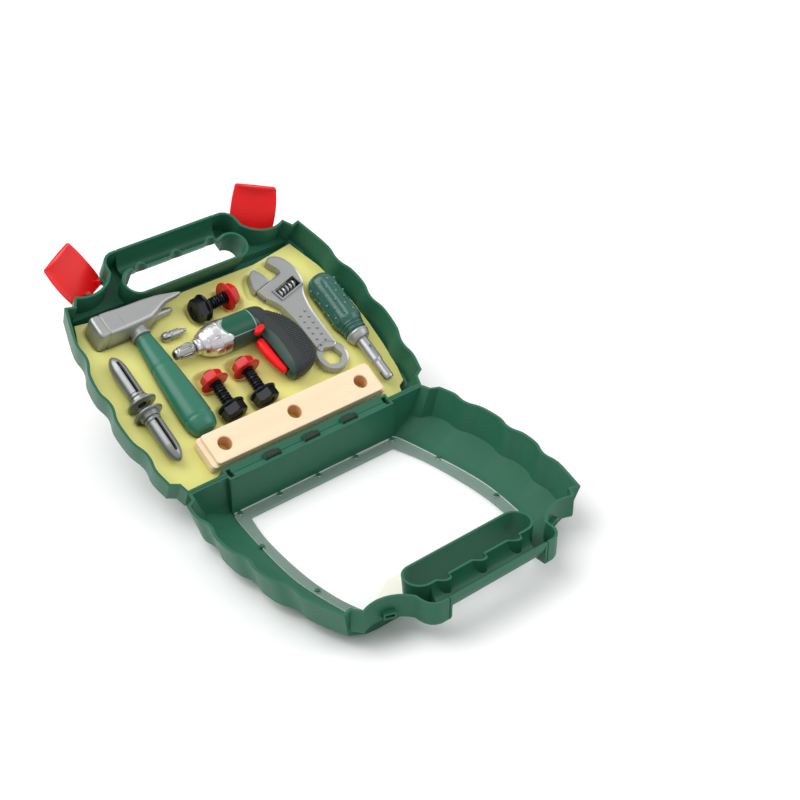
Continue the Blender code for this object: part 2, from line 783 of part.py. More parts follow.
def make_pane(parent, clear):
    low = -lid_depth + frame_thickness + fit_gap
    corners = pane_seat(0.0)
    kept = [corner for index, corner in enumerate(corners)
            if index == 0 or corner[1] != corners[index - 1][1]]
    kept = kept[:-1] + [(kept[-1][0], pane_high)]
    pane = prism("window_pane", both_sides(kept), low, low + pane_thickness)
    for x, y in stud_places():
        hole = prism("pane_hole", circle(stud_stem + fit_gap, 8), low - overrun,
                     low + pane_thickness + overrun)
        cut(pane, moved(hole, (x, y, 0)))
    return finish(pane, parent, clear, smooth=False)


def make_label(parent, paper):
    top = -lid_depth + frame_thickness
    outline = [(-x, y) for x, y in label_corners]
    label = prism("label_panel", outline, top - label_thickness, top)
    return finish(label, parent, paper, smooth=False)


def make_tray(parent, green):
    rings = tray_rings()
    back = [(x - wall / 2, max(y, wall)) for x, y in rings[-1][0]]
    hollow = hollow_loft(rings[:-1], [-overrun, tray_crease_depth - wall / 3], back, tray_floor)
    tray = half_shell("back_shell", rings, [tray_crease_depth, tray_depth], hollow,
                      tray_shoulder_depth, tray_grip_depth, False)
    strip = box("strip", (-strip_half, rim_gap / 2, -rim_gap / 2 - strip_thickness),
                (strip_half, strip_depth, -rim_gap / 2))
    join(tray, strip)
    add_hinge_hooks(tray)
    for side in (-1, 1):
        for lug in tray_lugs():
            join(tray, flipped(lug) if side < 0 else lug)
    for side in (-1, 1):
        bore = latch_bore()
        cut(tray, flipped(bore) if side < 0 else bore)
    return finish(tray, parent, green)


# Latches: a frame of their own, x along the pad's chord, y outwards, z towards the lid

def latch_turn():
    run = Vector(latch_end) - Vector(latch_start)
    return math.degrees(math.atan2(run.y, run.x))


def latch_pivot():
    """The pivot's middle in the tray's frame, for the right latch."""
    a, b = Vector(latch_start), Vector(latch_end)
    across = Vector((-(b - a).y, (b - a).x)).normalized()
    middle = (a + b) / 2 - across * latch_pivot_drop
    return (middle.x, middle.y, -latch_pivot_depth)


def lug_shape(name, start, end, drop):
    """A lug across x with a round head on the pivot, running down or up by drop."""
    cap = [(latch_lug_radius * math.cos(a), latch_lug_radius * math.sin(a)) for a in arc_angles(0, 180, 6)]
    side = math.copysign(1, drop)
    outline = [(-side * y, x) for x, y in cap] + [(drop, -latch_lug_radius), (drop, latch_lug_radius)]
    return loft(name, [[(x, y, z) for y, z in outline] for x in (start, end)])


def tray_lugs():
    """Two lugs that stand on the tray's pad and carry the latch's pins."""
    place, turn = latch_pivot(), latch_turn()
    lugs = []
    for side in (-1, 1):
        start = side * latch_lug_place - latch_lug_width / 2
        root = -pad_root_drop(side * latch_lug_place)
        lugs.append(moved(lug_shape("tray_lug", start, start + latch_lug_width, root), place, turn))
    return lugs


def pad_root_drop(along):
    """How far under the pivot the pad's wall is met, halfway into its thickness."""
    place, turn = latch_pivot(), latch_turn() * degree
    a, b = Vector(pad_corner), Vector(pad_end)
    half = (b - a).length / 2
    run = (b - a).normalized()
    centre = (a + b) / 2 + Vector((run.y, -run.x)) * math.sqrt(pad_radius * pad_radius - half * half)
    start = Vector(place[:2]) + Vector((math.cos(turn), math.sin(turn))) * along - centre
    down = Vector((math.sin(turn), -math.cos(turn)))
    reach = start.dot(down)
    return -reach + math.sqrt(reach * reach - start.length_squared + (pad_radius + wall / 2) ** 2)


def latch_bore():
    place, turn = latch_pivot(), latch_turn()
    reach = latch_lug_place + latch_lug_width
    return moved(barrel("latch_bore", latch_pin_radius + fit_gap, -reach, reach, 12), place, turn)


def latch_half_width(height, full):
    """The plate's half width at a height: fullest in its middle, with round back corners."""
    middle = (latch_front - latch_back) / 2
    span = (latch_front + latch_back) / 2
    width = full * (latch_tip_share + (1 - latch_tip_share) * (1 - ((height - middle) / span) ** 2))
    into = height + latch_back
    if into < latch_corner:
        width -= latch_corner - math.sqrt(latch_corner ** 2 - (latch_corner - into) ** 2)
    return width


def latch_plate():
    columns = 4
    heights = [-latch_back, -latch_back + latch_corner * 0.2, -latch_back + latch_corner * 0.6,
               -latch_back + latch_corner, 0.0, latch_front]
    rings = []
    for height in heights:
        shares = [index / columns for index in range(-columns, columns + 1)]
        halves = [latch_half_width(height, latch_inner_half if share < 0 else latch_outer_half)
                  for share in shares]
        top = [(half * share, latch_pivot_drop - latch_crown * share ** 2, height + latch_pivot_depth)
               for half, share in zip(halves, shares)]
        rings.append(top + [(x, y - latch_thickness, z) for x, y, z in reversed(top)])
    return loft("latch", rings)


def make_latch(name, side, opening, parent, red):
    """A latch: crowned plate, turned-down tab, two lugs with pins, about its pivot."""
    latch = latch_plate()
    crown = latch_pivot_drop - latch_crown - latch_thickness / 3
    tab_outline = []
    for angle in arc_angles(0, 180, 8):
        tip = latch_half_width(latch_front, latch_outer_half if angle < math.pi / 2 else latch_inner_half)
        tab_outline.append((tip * 0.97 * math.cos(angle), crown - latch_tab_drop * math.sin(angle)))
    tab = loft("tab", [[(x, y, z) for x, y in tab_outline]
                       for z in (latch_pivot_depth + latch_front - latch_thickness,
                                 latch_pivot_depth + latch_front - fit_gap / 2)])
    join(latch, tab)
    inner = latch_lug_place - latch_lug_width / 2 - fit_gap
    for place in (-1, 1):
        start = min(place * inner, place * (inner - latch_lug_width))
        join(latch, lug_shape("lug", start, start + latch_lug_width, latch_pivot_drop - latch_crown))
        far = place * (latch_lug_place + latch_lug_width / 2 - fit_gap)
        ends = sorted((place * (inner - fit_gap), far))
        join(latch, barrel("pin", latch_pin_radius, ends[0], ends[1], 12))
    if side < 0:
        flipped(latch)
    x, y, z = latch_pivot()
    base = add_frame(name + "_seat", (side * x, y, z), (0, 0, side * latch_turn() * degree), parent)
    pivot = add_frame(name + "_pivot", (0, 0, 0), (-opening, 0, 0), base)
    latch.name = name
    return finish(latch, pivot, red)


# The insert and its pockets

def rounded_rectangle(half_x, half_y, radius, steps=2):
    points = []
    for turn, (sx, sy) in zip((0, 90, 180, 270), ((1, 1), (-1, 1), (-1, -1), (1, -1))):
        centre = (sx * (half_x - radius), sy * (half_y - radius))
        points += [(centre[0] + radius * math.cos(a), centre[1] + radius * math.sin(a))
                   for a in arc_angles(turn, turn + 90, steps)]
    return points


def pocket_between(low, high, radius=pocket_radius):
    half_x, half_y = (high[0] - low[0]) / 2, (high[1] - low[1]) / 2
    outline = rounded_rectangle(half_x, half_y, min(radius, half_x * 0.95, half_y * 0.95))
    middle = ((high[0] + low[0]) / 2, (high[1] + low[1]) / 2)
    return [(x + middle[0], y + middle[1]) for x, y in outline]


def pocket_list():
    """Each pocket's outline and the depth of its floor, from the piece that it holds."""
    g = loose_gap
    head_low = head_line - head_half
    pockets = [(pocket_between((head_face - g, head_low - g), (head_tip + g, head_line + head_half + g)),
                hammer_depth + head_half + fit_gap)]
    pockets.append((pocket_between((handle_line - handle_half - g, handle_end - g),
                                   (handle_line + handle_half + g, head_line)),
                    hammer_depth + head_half + fit_gap))
    for place, side in plug_places:
        tip = place + side * (plug_length + plug_flange)
        pockets.append((pocket_between((plug_line - plug_radius - g, min(place, tip) - g),
                                       (plug_line + plug_radius + g, max(place, tip) + g)),
                        pocket_depth - plug_flange_radius + plug_radius + fit_gap))
    ends = [place + side * plug_flange * edge for place, side in plug_places for edge in (-1, 2)]
    pockets.append((pocket_between((plug_line - plug_flange_radius - g, min(ends)),
                                   (plug_line + plug_flange_radius + g, max(ends))), pocket_depth))
    for x, y, turn in bolt_places:
        pocket = pocket_between((-g, -bolt_flange_radius - g),
                                (bolt_length + g + bolt_flange, bolt_flange_radius + g))
        angle = turn * degree
        pockets.append(([(x + a * math.cos(angle) - b * math.sin(angle),
                          y + a * math.sin(angle) + b * math.cos(angle)) for a, b in pocket], pocket_depth))
    pockets.append((pocket_between((bit_start - g, bit_line - bit_radius - g),
                                   (bit_start + bit_length + g, bit_line + bit_radius + g), pocket_radius / 2),
                    bit_depth + bit_radius + fit_gap))
    pockets.append((pocket_between((driver_line - ferrule_radius - g, shaft_tip - g),
                                   (driver_line + ferrule_radius + g, grip_bottom + g)), pocket_depth))
    pockets.append((pocket_between((driver_line - grip_radius - g, grip_bottom - g),
                                   (driver_line + grip_radius + g, grip_top + g)), pocket_depth))
    wrench_floor = wrench_depth + wrench_thickness + fit_gap
    ring_x, ring_y = wrench_ring
    reach = wrench_ring_radius + g
    pockets.append((pocket_between((ring_x - reach, ring_y - reach),
                                   (ring_x + reach, ring_y + reach), reach), wrench_floor))
    shank = pocket_between((ring_x - reach, ring_y), (ring_x + reach, wrench_place[1]))
    pockets.append((shank, wrench_floor))
    head = [point_on_tray(point) for point in
            ((base_left[0] - jaw_opening - g, -wrench_ring_radius), (fixed_jaw[0][0] + g, -wrench_ring_radius),
             (fixed_jaw[0][0] + g, fixed_jaw[3][1] + g), (base_left[0] - jaw_opening - g, fixed_jaw[3][1] + g))]
    pockets.append((head, wrench_floor))
    tool_floor = pocket_depth
    pockets.append((pocket_between((chuck_start - g, tool_line - nose_radius - g),
                                   (barrel_end + g, tool_line + nose_radius + g)), tool_floor))
    widest = max(centre[0] + half for centre, half, _, _ in grip_stations)
    lowest = min(centre[1] for centre, _, _, _ in grip_stations)
    pockets.append((pocket_between((trigger_corners[1][0] - trigger_travel - g, lowest - 6 * g),
                                   (widest + g, tool_line)), tool_floor))
    return pockets


def point_on_tray(point):
    """A point of the wrench's own frame in the tray's."""
    angle = wrench_turn * degree
    x, y = point
    return (wrench_place[0] + x * math.cos(angle) - y * math.sin(angle),
            wrench_place[1] + x * math.sin(angle) + y * math.cos(angle))


def insert_outline():
    rim = corner_points(rim_shares)
    draft = tray_crease_inset * insert_depth / tray_crease_depth
    whole = offset_loop(both_sides(with_scoops(rim, scoop_sagitta, 0)), -(draft + wall + loose_gap))
    low = recess_depth + wall + fit_gap
    high = hole_centre - hole_radius - wall - loose_gap
    points = [(x, max(y, low)) for x, y in whole]
    top = max(y for _, y in points)
    corner = case_half_width * rim_shares[9][0] - draft - wall - loose_gap * 4
    kept = [(x, y) for x, y in points if y < top - overrun and abs(x) > hole_half]
    right = [point for point in kept if point[0] > 0]
    right = [point for point in right if point[1] < body_height * 0.93]
    right += [(corner - loose_gap, body_height * 0.955), (hole_half + wall * 3, high)]
    return both_sides(right)


def make_insert(parent, yellow):
    insert = prism("insert_tray", insert_outline(), -insert_depth - insert_thickness, -insert_depth)
    pockets = pocket_list()
    for index, (outline, depth) in enumerate(pockets):
        outer = offset_loop(outline, insert_thickness)
        body = loft("pocket_%d" % index, [level(outer, -depth - insert_thickness),
                                          level(offset_loop(outer, pocket_draft), -insert_depth - fit_gap)])
        join(insert, body)
    for index, (outline, depth) in enumerate(pockets):
        hollow = loft("hollow_%d" % index, [level(outline, -depth),
                                            level(offset_loop(outline, pocket_draft), -insert_depth + overrun)])
        cut(insert, hollow)
    return finish(insert, parent, yellow)


# Tools

def oval_ring(place, half_a, half_b, count, power_share=0.0):
    """A ring across x: an ellipse, squared off by a share."""
    ring = []
    for a, b in circle(1.0, count, math.pi / count):
        scale = 1 + power_share * (1 / max(abs(a), abs(b)) - 1)
        ring.append((place[0], place[1] + half_a * a * scale, place[2] + half_b * b * scale))
    return ring


def make_hammer(parent, grey, teal):
    length = head_tip - head_face
    rings = []
    for along, half_a, half_b, shift in head_shares:
        place = (head_face + length * along, head_line + head_half * shift, -hammer_depth)
        rings.append(oval_ring(place, head_half * half_a, head_half * half_b, 16, 0.75))
    head = loft("hammer_head", rings)
    collar_start = handle_top - fit_gap
    collar = turned("collar", [(collar_start, collar_radius * 0.9),
                               (collar_start + collar_length, collar_radius),
                               (collar_start + collar_length * 2, collar_radius)])
    join(head, moved(moved(collar, turn=90), (handle_line, 0, -hammer_depth)))
    bore = barrel("bore", spigot_radius + fit_gap, collar_start - overrun,
                  handle_top + spigot_length + fit_gap)
    cut(head, moved(moved(bore, turn=90), (handle_line, 0, -hammer_depth)))
    root = head_face + length * claw_root_share
    half = claw_slot / 2
    wedge = [(root, fit_gap), (head_tip + overrun, half), (head_tip + overrun, -half), (root, -fit_gap)]
    low = head_line - head_half * 2
    slot = loft("slot", [[(x, y, z - hammer_depth) for x, z in wedge]
                         for y in (low, head_line + head_half * 2)])
    cut(head, slot)
    finish(head, parent, grey)

    rings = []
    for along, size in handle_shares:
        place = (handle_top - fit_gap + (handle_end - handle_top) * along, 0, 0)
        half = handle_half * size
        rings.append(oval_ring(place, half, half * handle_flat_share, round_sides))
    handle = loft("hammer_handle", rings)
    join(handle, barrel("spigot", spigot_radius, handle_top - spigot_radius, handle_top + spigot_length, 12))
    moved(moved(handle, turn=90), (handle_line, 0, -hammer_depth))
    return head, finish(handle, parent, teal)


def make_plug(name, place, side, parent, grey):
    """A wall plug along x: flange, grooved and slotted shank, and a hexagon bore."""
    profile = [(0.0, plug_flange_radius * 0.93), (plug_flange / 3, plug_flange_radius),
               (plug_flange, plug_flange_radius * 0.97)]
    profile += share_profile(plug_shares, plug_length, plug_radius, plug_flange)
    plug = turned(name, profile)
    cut(plug, turned("hex", [(-overrun, plug_hex_radius), (plug_bore_depth, plug_hex_radius)], 6))
    cut(plug, box("slot", (plug_slot_start, -plug_slot / 2, 0),
                  (plug_slot_end, plug_slot / 2, plug_radius * 2)))
    moved(moved(plug, turn=90 * side), (plug_line, place, -pocket_depth + plug_flange_radius + fit_gap))
    return finish(plug, parent, grey)


def make_bit(parent, steel):
    bit = turned("bit", share_profile(bit_shares, bit_length, bit_radius), 12)
    for turn in (0, 90):
        slot = box("slot", (-overrun, -bit_slot / 2, -bit_radius * 2),
                   (bit_slot_depth, bit_slot / 2, bit_radius * 2))
        cut(bit, moved(slot, turn=turn + 45, axis="X"))
    return finish(moved(bit, (bit_start, bit_line, -bit_depth)), parent, steel)


def hexagon(name, radius, start, end, chamfer_start, chamfer_end):
    edge = radius * 0.08
    profile = [(start, radius - edge * chamfer_start), (start + edge, radius), (end - edge, radius),
               (end, radius - edge * chamfer_end)]
    return turned(name, profile, 6, math.pi / 6)


def make_bolt(index, place, parent, black, red):
    x, y, turn = place
    height = -pocket_depth + bolt_flange_radius + fit_gap
    bolt = hexagon("bolt_%d" % index, bolt_hex_radius, 0.0, bolt_head, 1, 0)
    join(bolt, barrel("flange", bolt_flange_radius, bolt_head - fit_gap, bolt_head + bolt_flange, 20))
    shank = [(bolt_head, bolt_radius), (bolt_length - bolt_tip_chamfer, bolt_radius),
             (bolt_length, bolt_radius - bolt_tip_chamfer)]
    join(bolt, turned("shank", shank))
    nut = hexagon("nut_%d" % index, bolt_hex_radius, nut_start + bolt_flange - fit_gap,
                  nut_start + bolt_flange + nut_hex, 0, 1)
    join(nut, barrel("flange", bolt_flange_radius, nut_start, nut_start + bolt_flange, 20))
    cut(nut, barrel("bore", bolt_radius + fit_gap, nut_start - overrun, nut_start + nut_hex * 2))
    seat = add_frame("bolt_%d_axis" % index, (x, y, height), (0, 0, turn * degree), parent)
    finish(bolt, seat, black)
    return finish(nut, seat, red)


def make_wrench(parent, grey, dark):
    """The adjustable wrench: body, moving jaw on its rail, worm and the worm's pin."""
    seat = add_frame("wrench_axis", (*wrench_place, -wrench_depth - wrench_thickness / 2),
                     (0, 0, wrench_turn * degree), parent)
    half = wrench_thickness / 2
    right = [point_on_wrench(point) for point in wrench_right]
    left = [point_on_wrench(point) for point in wrench_left]
    outline = left + right[:1] + right[1:] + fixed_jaw + [base_left]
    body = rounded_prism("wrench_body", outline, half, wrench_edge)
    centre = point_on_wrench(wrench_ring)
    ring = rounded_prism("ring", [(x + centre[0], y + centre[1]) for x, y in circle(wrench_ring_radius, 24)],
                         half, wrench_edge)
    join(body, ring)
    hexagon_hole = prism("ring_hole", [(x + centre[0], y + centre[1]) for x, y in circle(wrench_ring_hex, 6)],
                         -half - overrun, half + overrun)
    window = box("window", (-worm_window[0] / 2, -worm_window[1] / 2, -half - overrun),
                 (worm_window[0] / 2, worm_window[1] / 2, half + overrun))
    rail_end = rail_reach + jaw_closing + loose_gap
    groove = box("groove", (base_left[0] - wrench_ring_radius, worm_window[1] / 2 - overrun,
                            -rail_half_thickness - fit_gap),
                 (rail_end, mouth_base + overrun, rail_half_thickness + fit_gap))
    bore = barrel("bore", worm_pin_radius + fit_gap, -worm_window[0] / 2 - worm_pin_end,
                  worm_window[0] / 2 + worm_pin_end, 12)
    cut(body, hexagon_hole, window, groove, bore)
    finish(body, seat, grey)

    jaw = rounded_prism("wrench_jaw", moving_jaw, half, wrench_edge)
    rail_low = worm_radius + fit_gap * 2
    rail = box("rail", (moving_jaw[-1][0] + wrench_edge * 2, rail_low, -rail_half_thickness),
               (rail_reach, rail_low + rail_height, rail_half_thickness))
    web = box("web", (moving_jaw[-1][0] + wrench_edge * 2, rail_low + rail_height - overrun,
                      -rail_half_thickness),
              (moving_jaw[0][0] - wrench_edge * 2, mouth_base + wrench_edge * 3, rail_half_thickness))
    join(jaw, join(rail, web))
    finish(jaw, seat, grey)

    reach = worm_window[0] / 2 - worm_end_gap
    pitch = 2 * reach / worm_rings
    profile = []
    for ring_index in range(worm_rings):
        start = -reach + pitch * ring_index
        profile += [(start, worm_radius * worm_core_share), (start + pitch * 0.25, worm_radius),
                    (start + pitch * 0.65, worm_radius), (start + pitch * 0.9, worm_radius * worm_core_share)]
    profile.append((reach, worm_radius * worm_core_share))
    worm = turned("wrench_worm", profile, 12)
    cut(worm, barrel("bore", worm_pin_radius + fit_gap, -reach - overrun, reach + overrun, 12))
    finish(worm, seat, dark)
    pin = barrel("worm_pin", worm_pin_radius, -worm_window[0] / 2 - worm_pin_end + fit_gap,
                 worm_window[0] / 2 + worm_pin_end - fit_gap, 12)
    return finish(pin, seat, dark)


def point_on_wrench(point):
    angle = -wrench_turn * degree
    x, y = point[0] - wrench_place[0], point[1] - wrench_place[1]
    return (x * math.cos(angle) - y * math.sin(angle), x * math.sin(angle) + y * math.cos(angle))


def rounded_prism(name, outline, half, edge):
    return loft(name, [level(offset_loop(outline, -edge), -half), level(outline, edge - half),
                       level(outline, half - edge), level(offset_loop(outline, -edge), half)])


def make_screwdriver(parent, green, grey, steel):
    height = -pocket_depth + grip_radius + fit_gap
    length = grip_top - grip_bottom
    tail = turned("screwdriver_handle", share_profile(grip_shares, length, grip_radius))
    for index in range(flute_count):
        angle = 2 * math.pi * (index + 0.5) / flute_count
        reach = grip_radius + flute_radius * (1 - 2 * flute_share * 2)
        flute = barrel("flute", flute_radius, length * flute_share, length * (1 - flute_share * 2), 8)
        cut(tail, moved(flute, (0, reach * math.cos(angle), reach * math.sin(angle))))
    cut(tail, barrel("bore", shaft_radius + fit_gap, length - tang_length, length + overrun))
    ferrule = turned("screwdriver_ferrule", [
        (length + fit_gap, ferrule_radius * 0.78), (length + ferrule_length * 0.35, ferrule_radius * 0.80),
        (length + ferrule_length * 0.6, ferrule_radius), (length + ferrule_length, ferrule_radius * 0.95)], 24)
    cut(ferrule, barrel("bore", shaft_radius + fit_gap, length - overrun, length + ferrule_length + overrun))
    start = length - tang_length + fit_gap
    end = grip_top - shaft_tip
    profile = share_profile(tip_shares, end - start, shaft_radius, start)
    shaft = turned("screwdriver_shaft", profile)
    cut(shaft, box("slot", (end - tip_slot_depth, -shaft_radius * 2, -tip_slot / 2),
                   (end + overrun, shaft_radius * 2, tip_slot / 2)))
    for thing, material in ((tail, green), (ferrule, grey), (shaft, steel)):
        moved(thing, (driver_line, grip_top, height), -90)
        finish(thing, parent, material)
    return shaft


def make_beam(parent, wood):
    half_x, half_y = beam_length / 2, beam_width / 2
    outline = rounded_rectangle(half_x, half_y, beam_corner)
    low = -insert_depth + fit_gap
    high = low + beam_thickness
    step = high - beam_step_height
    rings = [level(offset_loop(outline, -beam_round), low), level(outline, low + beam_round),
             level(outline, step - beam_step / 2), level(offset_loop(outline, -beam_step), step),
             level(offset_loop(outline, -beam_step), high - beam_round),
             level(offset_loop(outline, -beam_step - beam_round), high)]
    beam = loft("beam", rings)
    for place in (-beam_hole_pitch, 0.0, beam_hole_pitch):
        hole = prism("hole", circle(beam_hole_radius, 20), low - overrun, high + overrun)
        cut(beam, moved(hole, (place, 0, 0)))
    return finish(moved(beam, (*beam_place, 0)), parent, wood)


# The power screwdriver lies on its side: x along its barrel, y across, z up out of the tray

def grip_ring(station, inset):
    (x, y), half_width, half_thick, turn = station
    ring = []
    angle = turn * degree
    for a, b in circle(1.0, 18, math.pi / 18):
        across = (half_width - inset) * a
        ring.append((x + across * math.cos(angle), y + across * math.sin(angle), (half_thick - inset) * b))
    return ring


def grip_solid(name, inset, stretch=0.0):
    """The grip's form, drawn in by an inset and longer at both ends by a stretch."""
    stations = list(grip_stations)
    for end, inner in ((0, 1), (-1, -2)):
        (x, y), half_width, half_thick, turn = stations[end]
        run = (Vector((x, y)) - Vector(stations[inner][0])).normalized() * stretch
        stations[end] = ((x + run.x, y + run.y), half_width, half_thick, turn)
    return loft(name, [grip_ring(station, inset) for station in stations])


def barrel_solid(name, inset, start, end):
    profile = share_profile(barrel_shares, end - start, barrel_radius - inset, start)
    return moved(turned(name, profile, 20), (0, tool_line, 0))


def back_grip_zone(name, grow):
    """The space behind the grip's parting line, where the soft skin lies."""
    line = []
    for (x, y), half_width, _, turn in grip_stations:
        place = half_width * grip_split_share - grow
        line.append((x + place * math.cos(turn * degree), y + place * math.sin(turn * degree)))
    edge = [((a[0] + b[0]) / 2, (a[1] + b[1]) / 2) for a, b in zip(line, line[1:])]
    edge = [line[0]] + edge + [(line[-1][0], line[-1][1] - barrel_radius)]
    far = max(x for x, _ in edge) + barrel_radius * 3
    low, high = edge[-1][1] - barrel_radius * 2, edge[0][1] + barrel_radius * 0.2
    outline = [(far, low), (far, high), (edge[0][0], high)] + edge[1:] + [(edge[-1][0], low)]
    return prism(name, outline, -barrel_radius * 2, barrel_radius * 2)


def door_space(name, grow, top):
    """The block under the cells that the battery door fills, grown by a clearance, up to a height."""
    half_x, half_y = door_size[0] / 2 + grow, door_size[1] / 2 + grow
    block = box(name, (-half_x, -half_y, -barrel_radius * 2), (half_x, half_y, top))
    return moved(block, (*cell_place, 0))


def make_driver(parent, green, chrome, grey, black, red, cell_colour):
    seat = add_frame("driver_axis", (0, 0, -tool_depth), (0, 0, 0), parent)
    housing = barrel_solid("housing", 0.0, nose_end + fit_gap, barrel_end)
    join(housing, grip_solid("handle", 0.0))
    skin = grip_solid("driver_grip", 0.0)
    cut(skin, grip_solid("core", grip_skin, overrun))
    cut(skin, barrel_solid("barrel_room", -fit_gap * 1.5, nose_end, barrel_end + fit_gap * 1.5))
    cut(skin, door_space("skin_notch", fit_gap * 2, -cell_radius / 3))
    keep_inside(skin, back_grip_zone("zone", 0.0))
    relief = back_grip_zone("relief", fit_gap)
    cut(relief, grip_solid("relief_core", grip_skin + fit_gap, overrun))
    cut(relief, barrel_solid("barrel_keep", -fit_gap / 2, nose_end, barrel_end + fit_gap / 2))
    cut(housing, relief)

    motor_room = barrel("motor_room", motor_radius + loose_gap, nose_end - overrun,
                        motor_start + motor_length + loose_gap)
    moved(motor_room, (0, tool_line, 0))
    cell_rooms = [moved(moved(barrel("cell_room", cell_radius + fit_gap, -cell_length / 2 - fit_gap,
                                     cell_length / 2 + fit_gap), turn=90),
                        (cell_place[0] + side * cell_pitch / 2, cell_place[1], 0)) for side in (-1, 1)]
    wire_way = box("wire_way", (cell_place[0] - wire_half, cell_place[1], -wire_half),
                   (cell_place[0] + wire_half, tool_line, wire_half))
    wire_turn = box("wire_turn", (motor_start + motor_length, tool_line - wire_half * 2, -wire_half),
                    (cell_place[0] + wire_half, tool_line + wire_half, wire_half))
    pressed = [(x + trigger_travel, y) for x, y in trigger_corners]
    swept = pressed[:1] + trigger_front + pressed[len(trigger_front) - 1:]
    trigger_room = prism("trigger_room", swept, -trigger_half - fit_gap, trigger_half + fit_gap,
                         fit_gap * 2, fit_gap * 2)
    cut(housing, motor_room, *cell_rooms, wire_way, wire_turn, trigger_room)
    sx, sy, rise = switch_size
    top = barrel_radius * 0.86
    slot = box("switch_slot", (-sx / 2 - switch_travel - fit_gap, -sy / 2 - fit_gap, top - rise),
               (sx / 2 + switch_travel + fit_gap, sy / 2 + fit_gap, barrel_radius * 2))
    cut(housing, moved(slot, (*switch_place, 0), switch_turn))
    cut(housing, door_space("door_opening", fit_gap, -cell_radius / 2))

    far = case_half_width * 2
    upper = copy_of(housing, "driver_housing_upper")
    cut(upper, box("below", (-far, -far, -far), (far, far, fit_gap / 2)))
    lower = copy_of(housing, "driver_housing_lower")
    cut(lower, box("above", (-far, -far, -fit_gap / 2), (far, far, far)))
    bpy.data.objects.remove(housing)
    door = keep_inside(grip_solid("battery_door", 0.0), door_space("door_zone", 0.0, -cell_radius - fit_gap))
    hollow = door_space("door_hollow", -door_wall, 0.0)
    cut(hollow, door_space("door_plate", 0.0, -cell_radius * 2 - door_wall))
    cut(door, hollow)

    nose = turned("driver_nose", share_profile(nose_shares, nose_end - nose_start, nose_radius, nose_start), 20)
    cut(nose, barrel("spindle_room", spindle_radius + fit_gap, nose_start - overrun, nose_end + overrun, 12))
    cut(nose, barrel("gear_room", motor_radius, nose_end - spindle_bore, nose_end + overrun))
    moved(nose, (0, tool_line, 0))

    chuck = turned("driver_chuck", share_profile(chuck_shares, chuck_length, chuck_radius, chuck_start), 18)
    for index in range(chuck_ribs):
        angle = 2 * math.pi * index / chuck_ribs
        groove = barrel("groove", chuck_rib_radius, chuck_start - overrun, chuck_start + chuck_length * 0.85, 8)
        reach = chuck_radius + chuck_rib_radius * 0.3
        cut(chuck, moved(groove, (0, reach * math.cos(angle), reach * math.sin(angle))))
    cut(chuck, turned("bit_hole", [(chuck_start - overrun, chuck_radius * 0.5),
                                   (chuck_start + chuck_length * 0.6, chuck_radius * 0.5)], 6))
    join(chuck, barrel("spindle", spindle_radius, chuck_start + chuck_length * 0.8, motor_start - fit_gap, 12))
    moved(chuck, (0, tool_line, 0))

    motor = turned("driver_motor", [(motor_start, motor_radius * 0.9), (motor_start + fit_gap * 4, motor_radius),
                                    (motor_start + motor_length, motor_radius)], 20)
    moved(motor, (0, tool_line, 0))
    trigger = prism("driver_trigger", trigger_corners, -trigger_half, trigger_half)
    switch = box("driver_switch", (-sx / 2, -sy / 2, top - rise + fit_gap), (sx / 2, sy / 2, top + rise / 3))
    moved(switch, (*switch_place, 0), switch_turn)
    for index, side in enumerate((-1, 1)):
        cell = barrel("cell_%d" % (index + 1), cell_radius, -cell_length / 2, cell_length / 2)
        moved(cell, (0, 0, 0), 90)
        moved(cell, (cell_place[0] + side * cell_pitch / 2, cell_place[1], 0))
        finish(cell, seat, cell_colour)
    for thing, material in ((upper, green), (lower, green), (door, green), (nose, chrome), (chuck, grey),
                            (skin, black), (motor, grey), (trigger, red), (switch, red)):
        finish(thing, seat, material)
    return seat


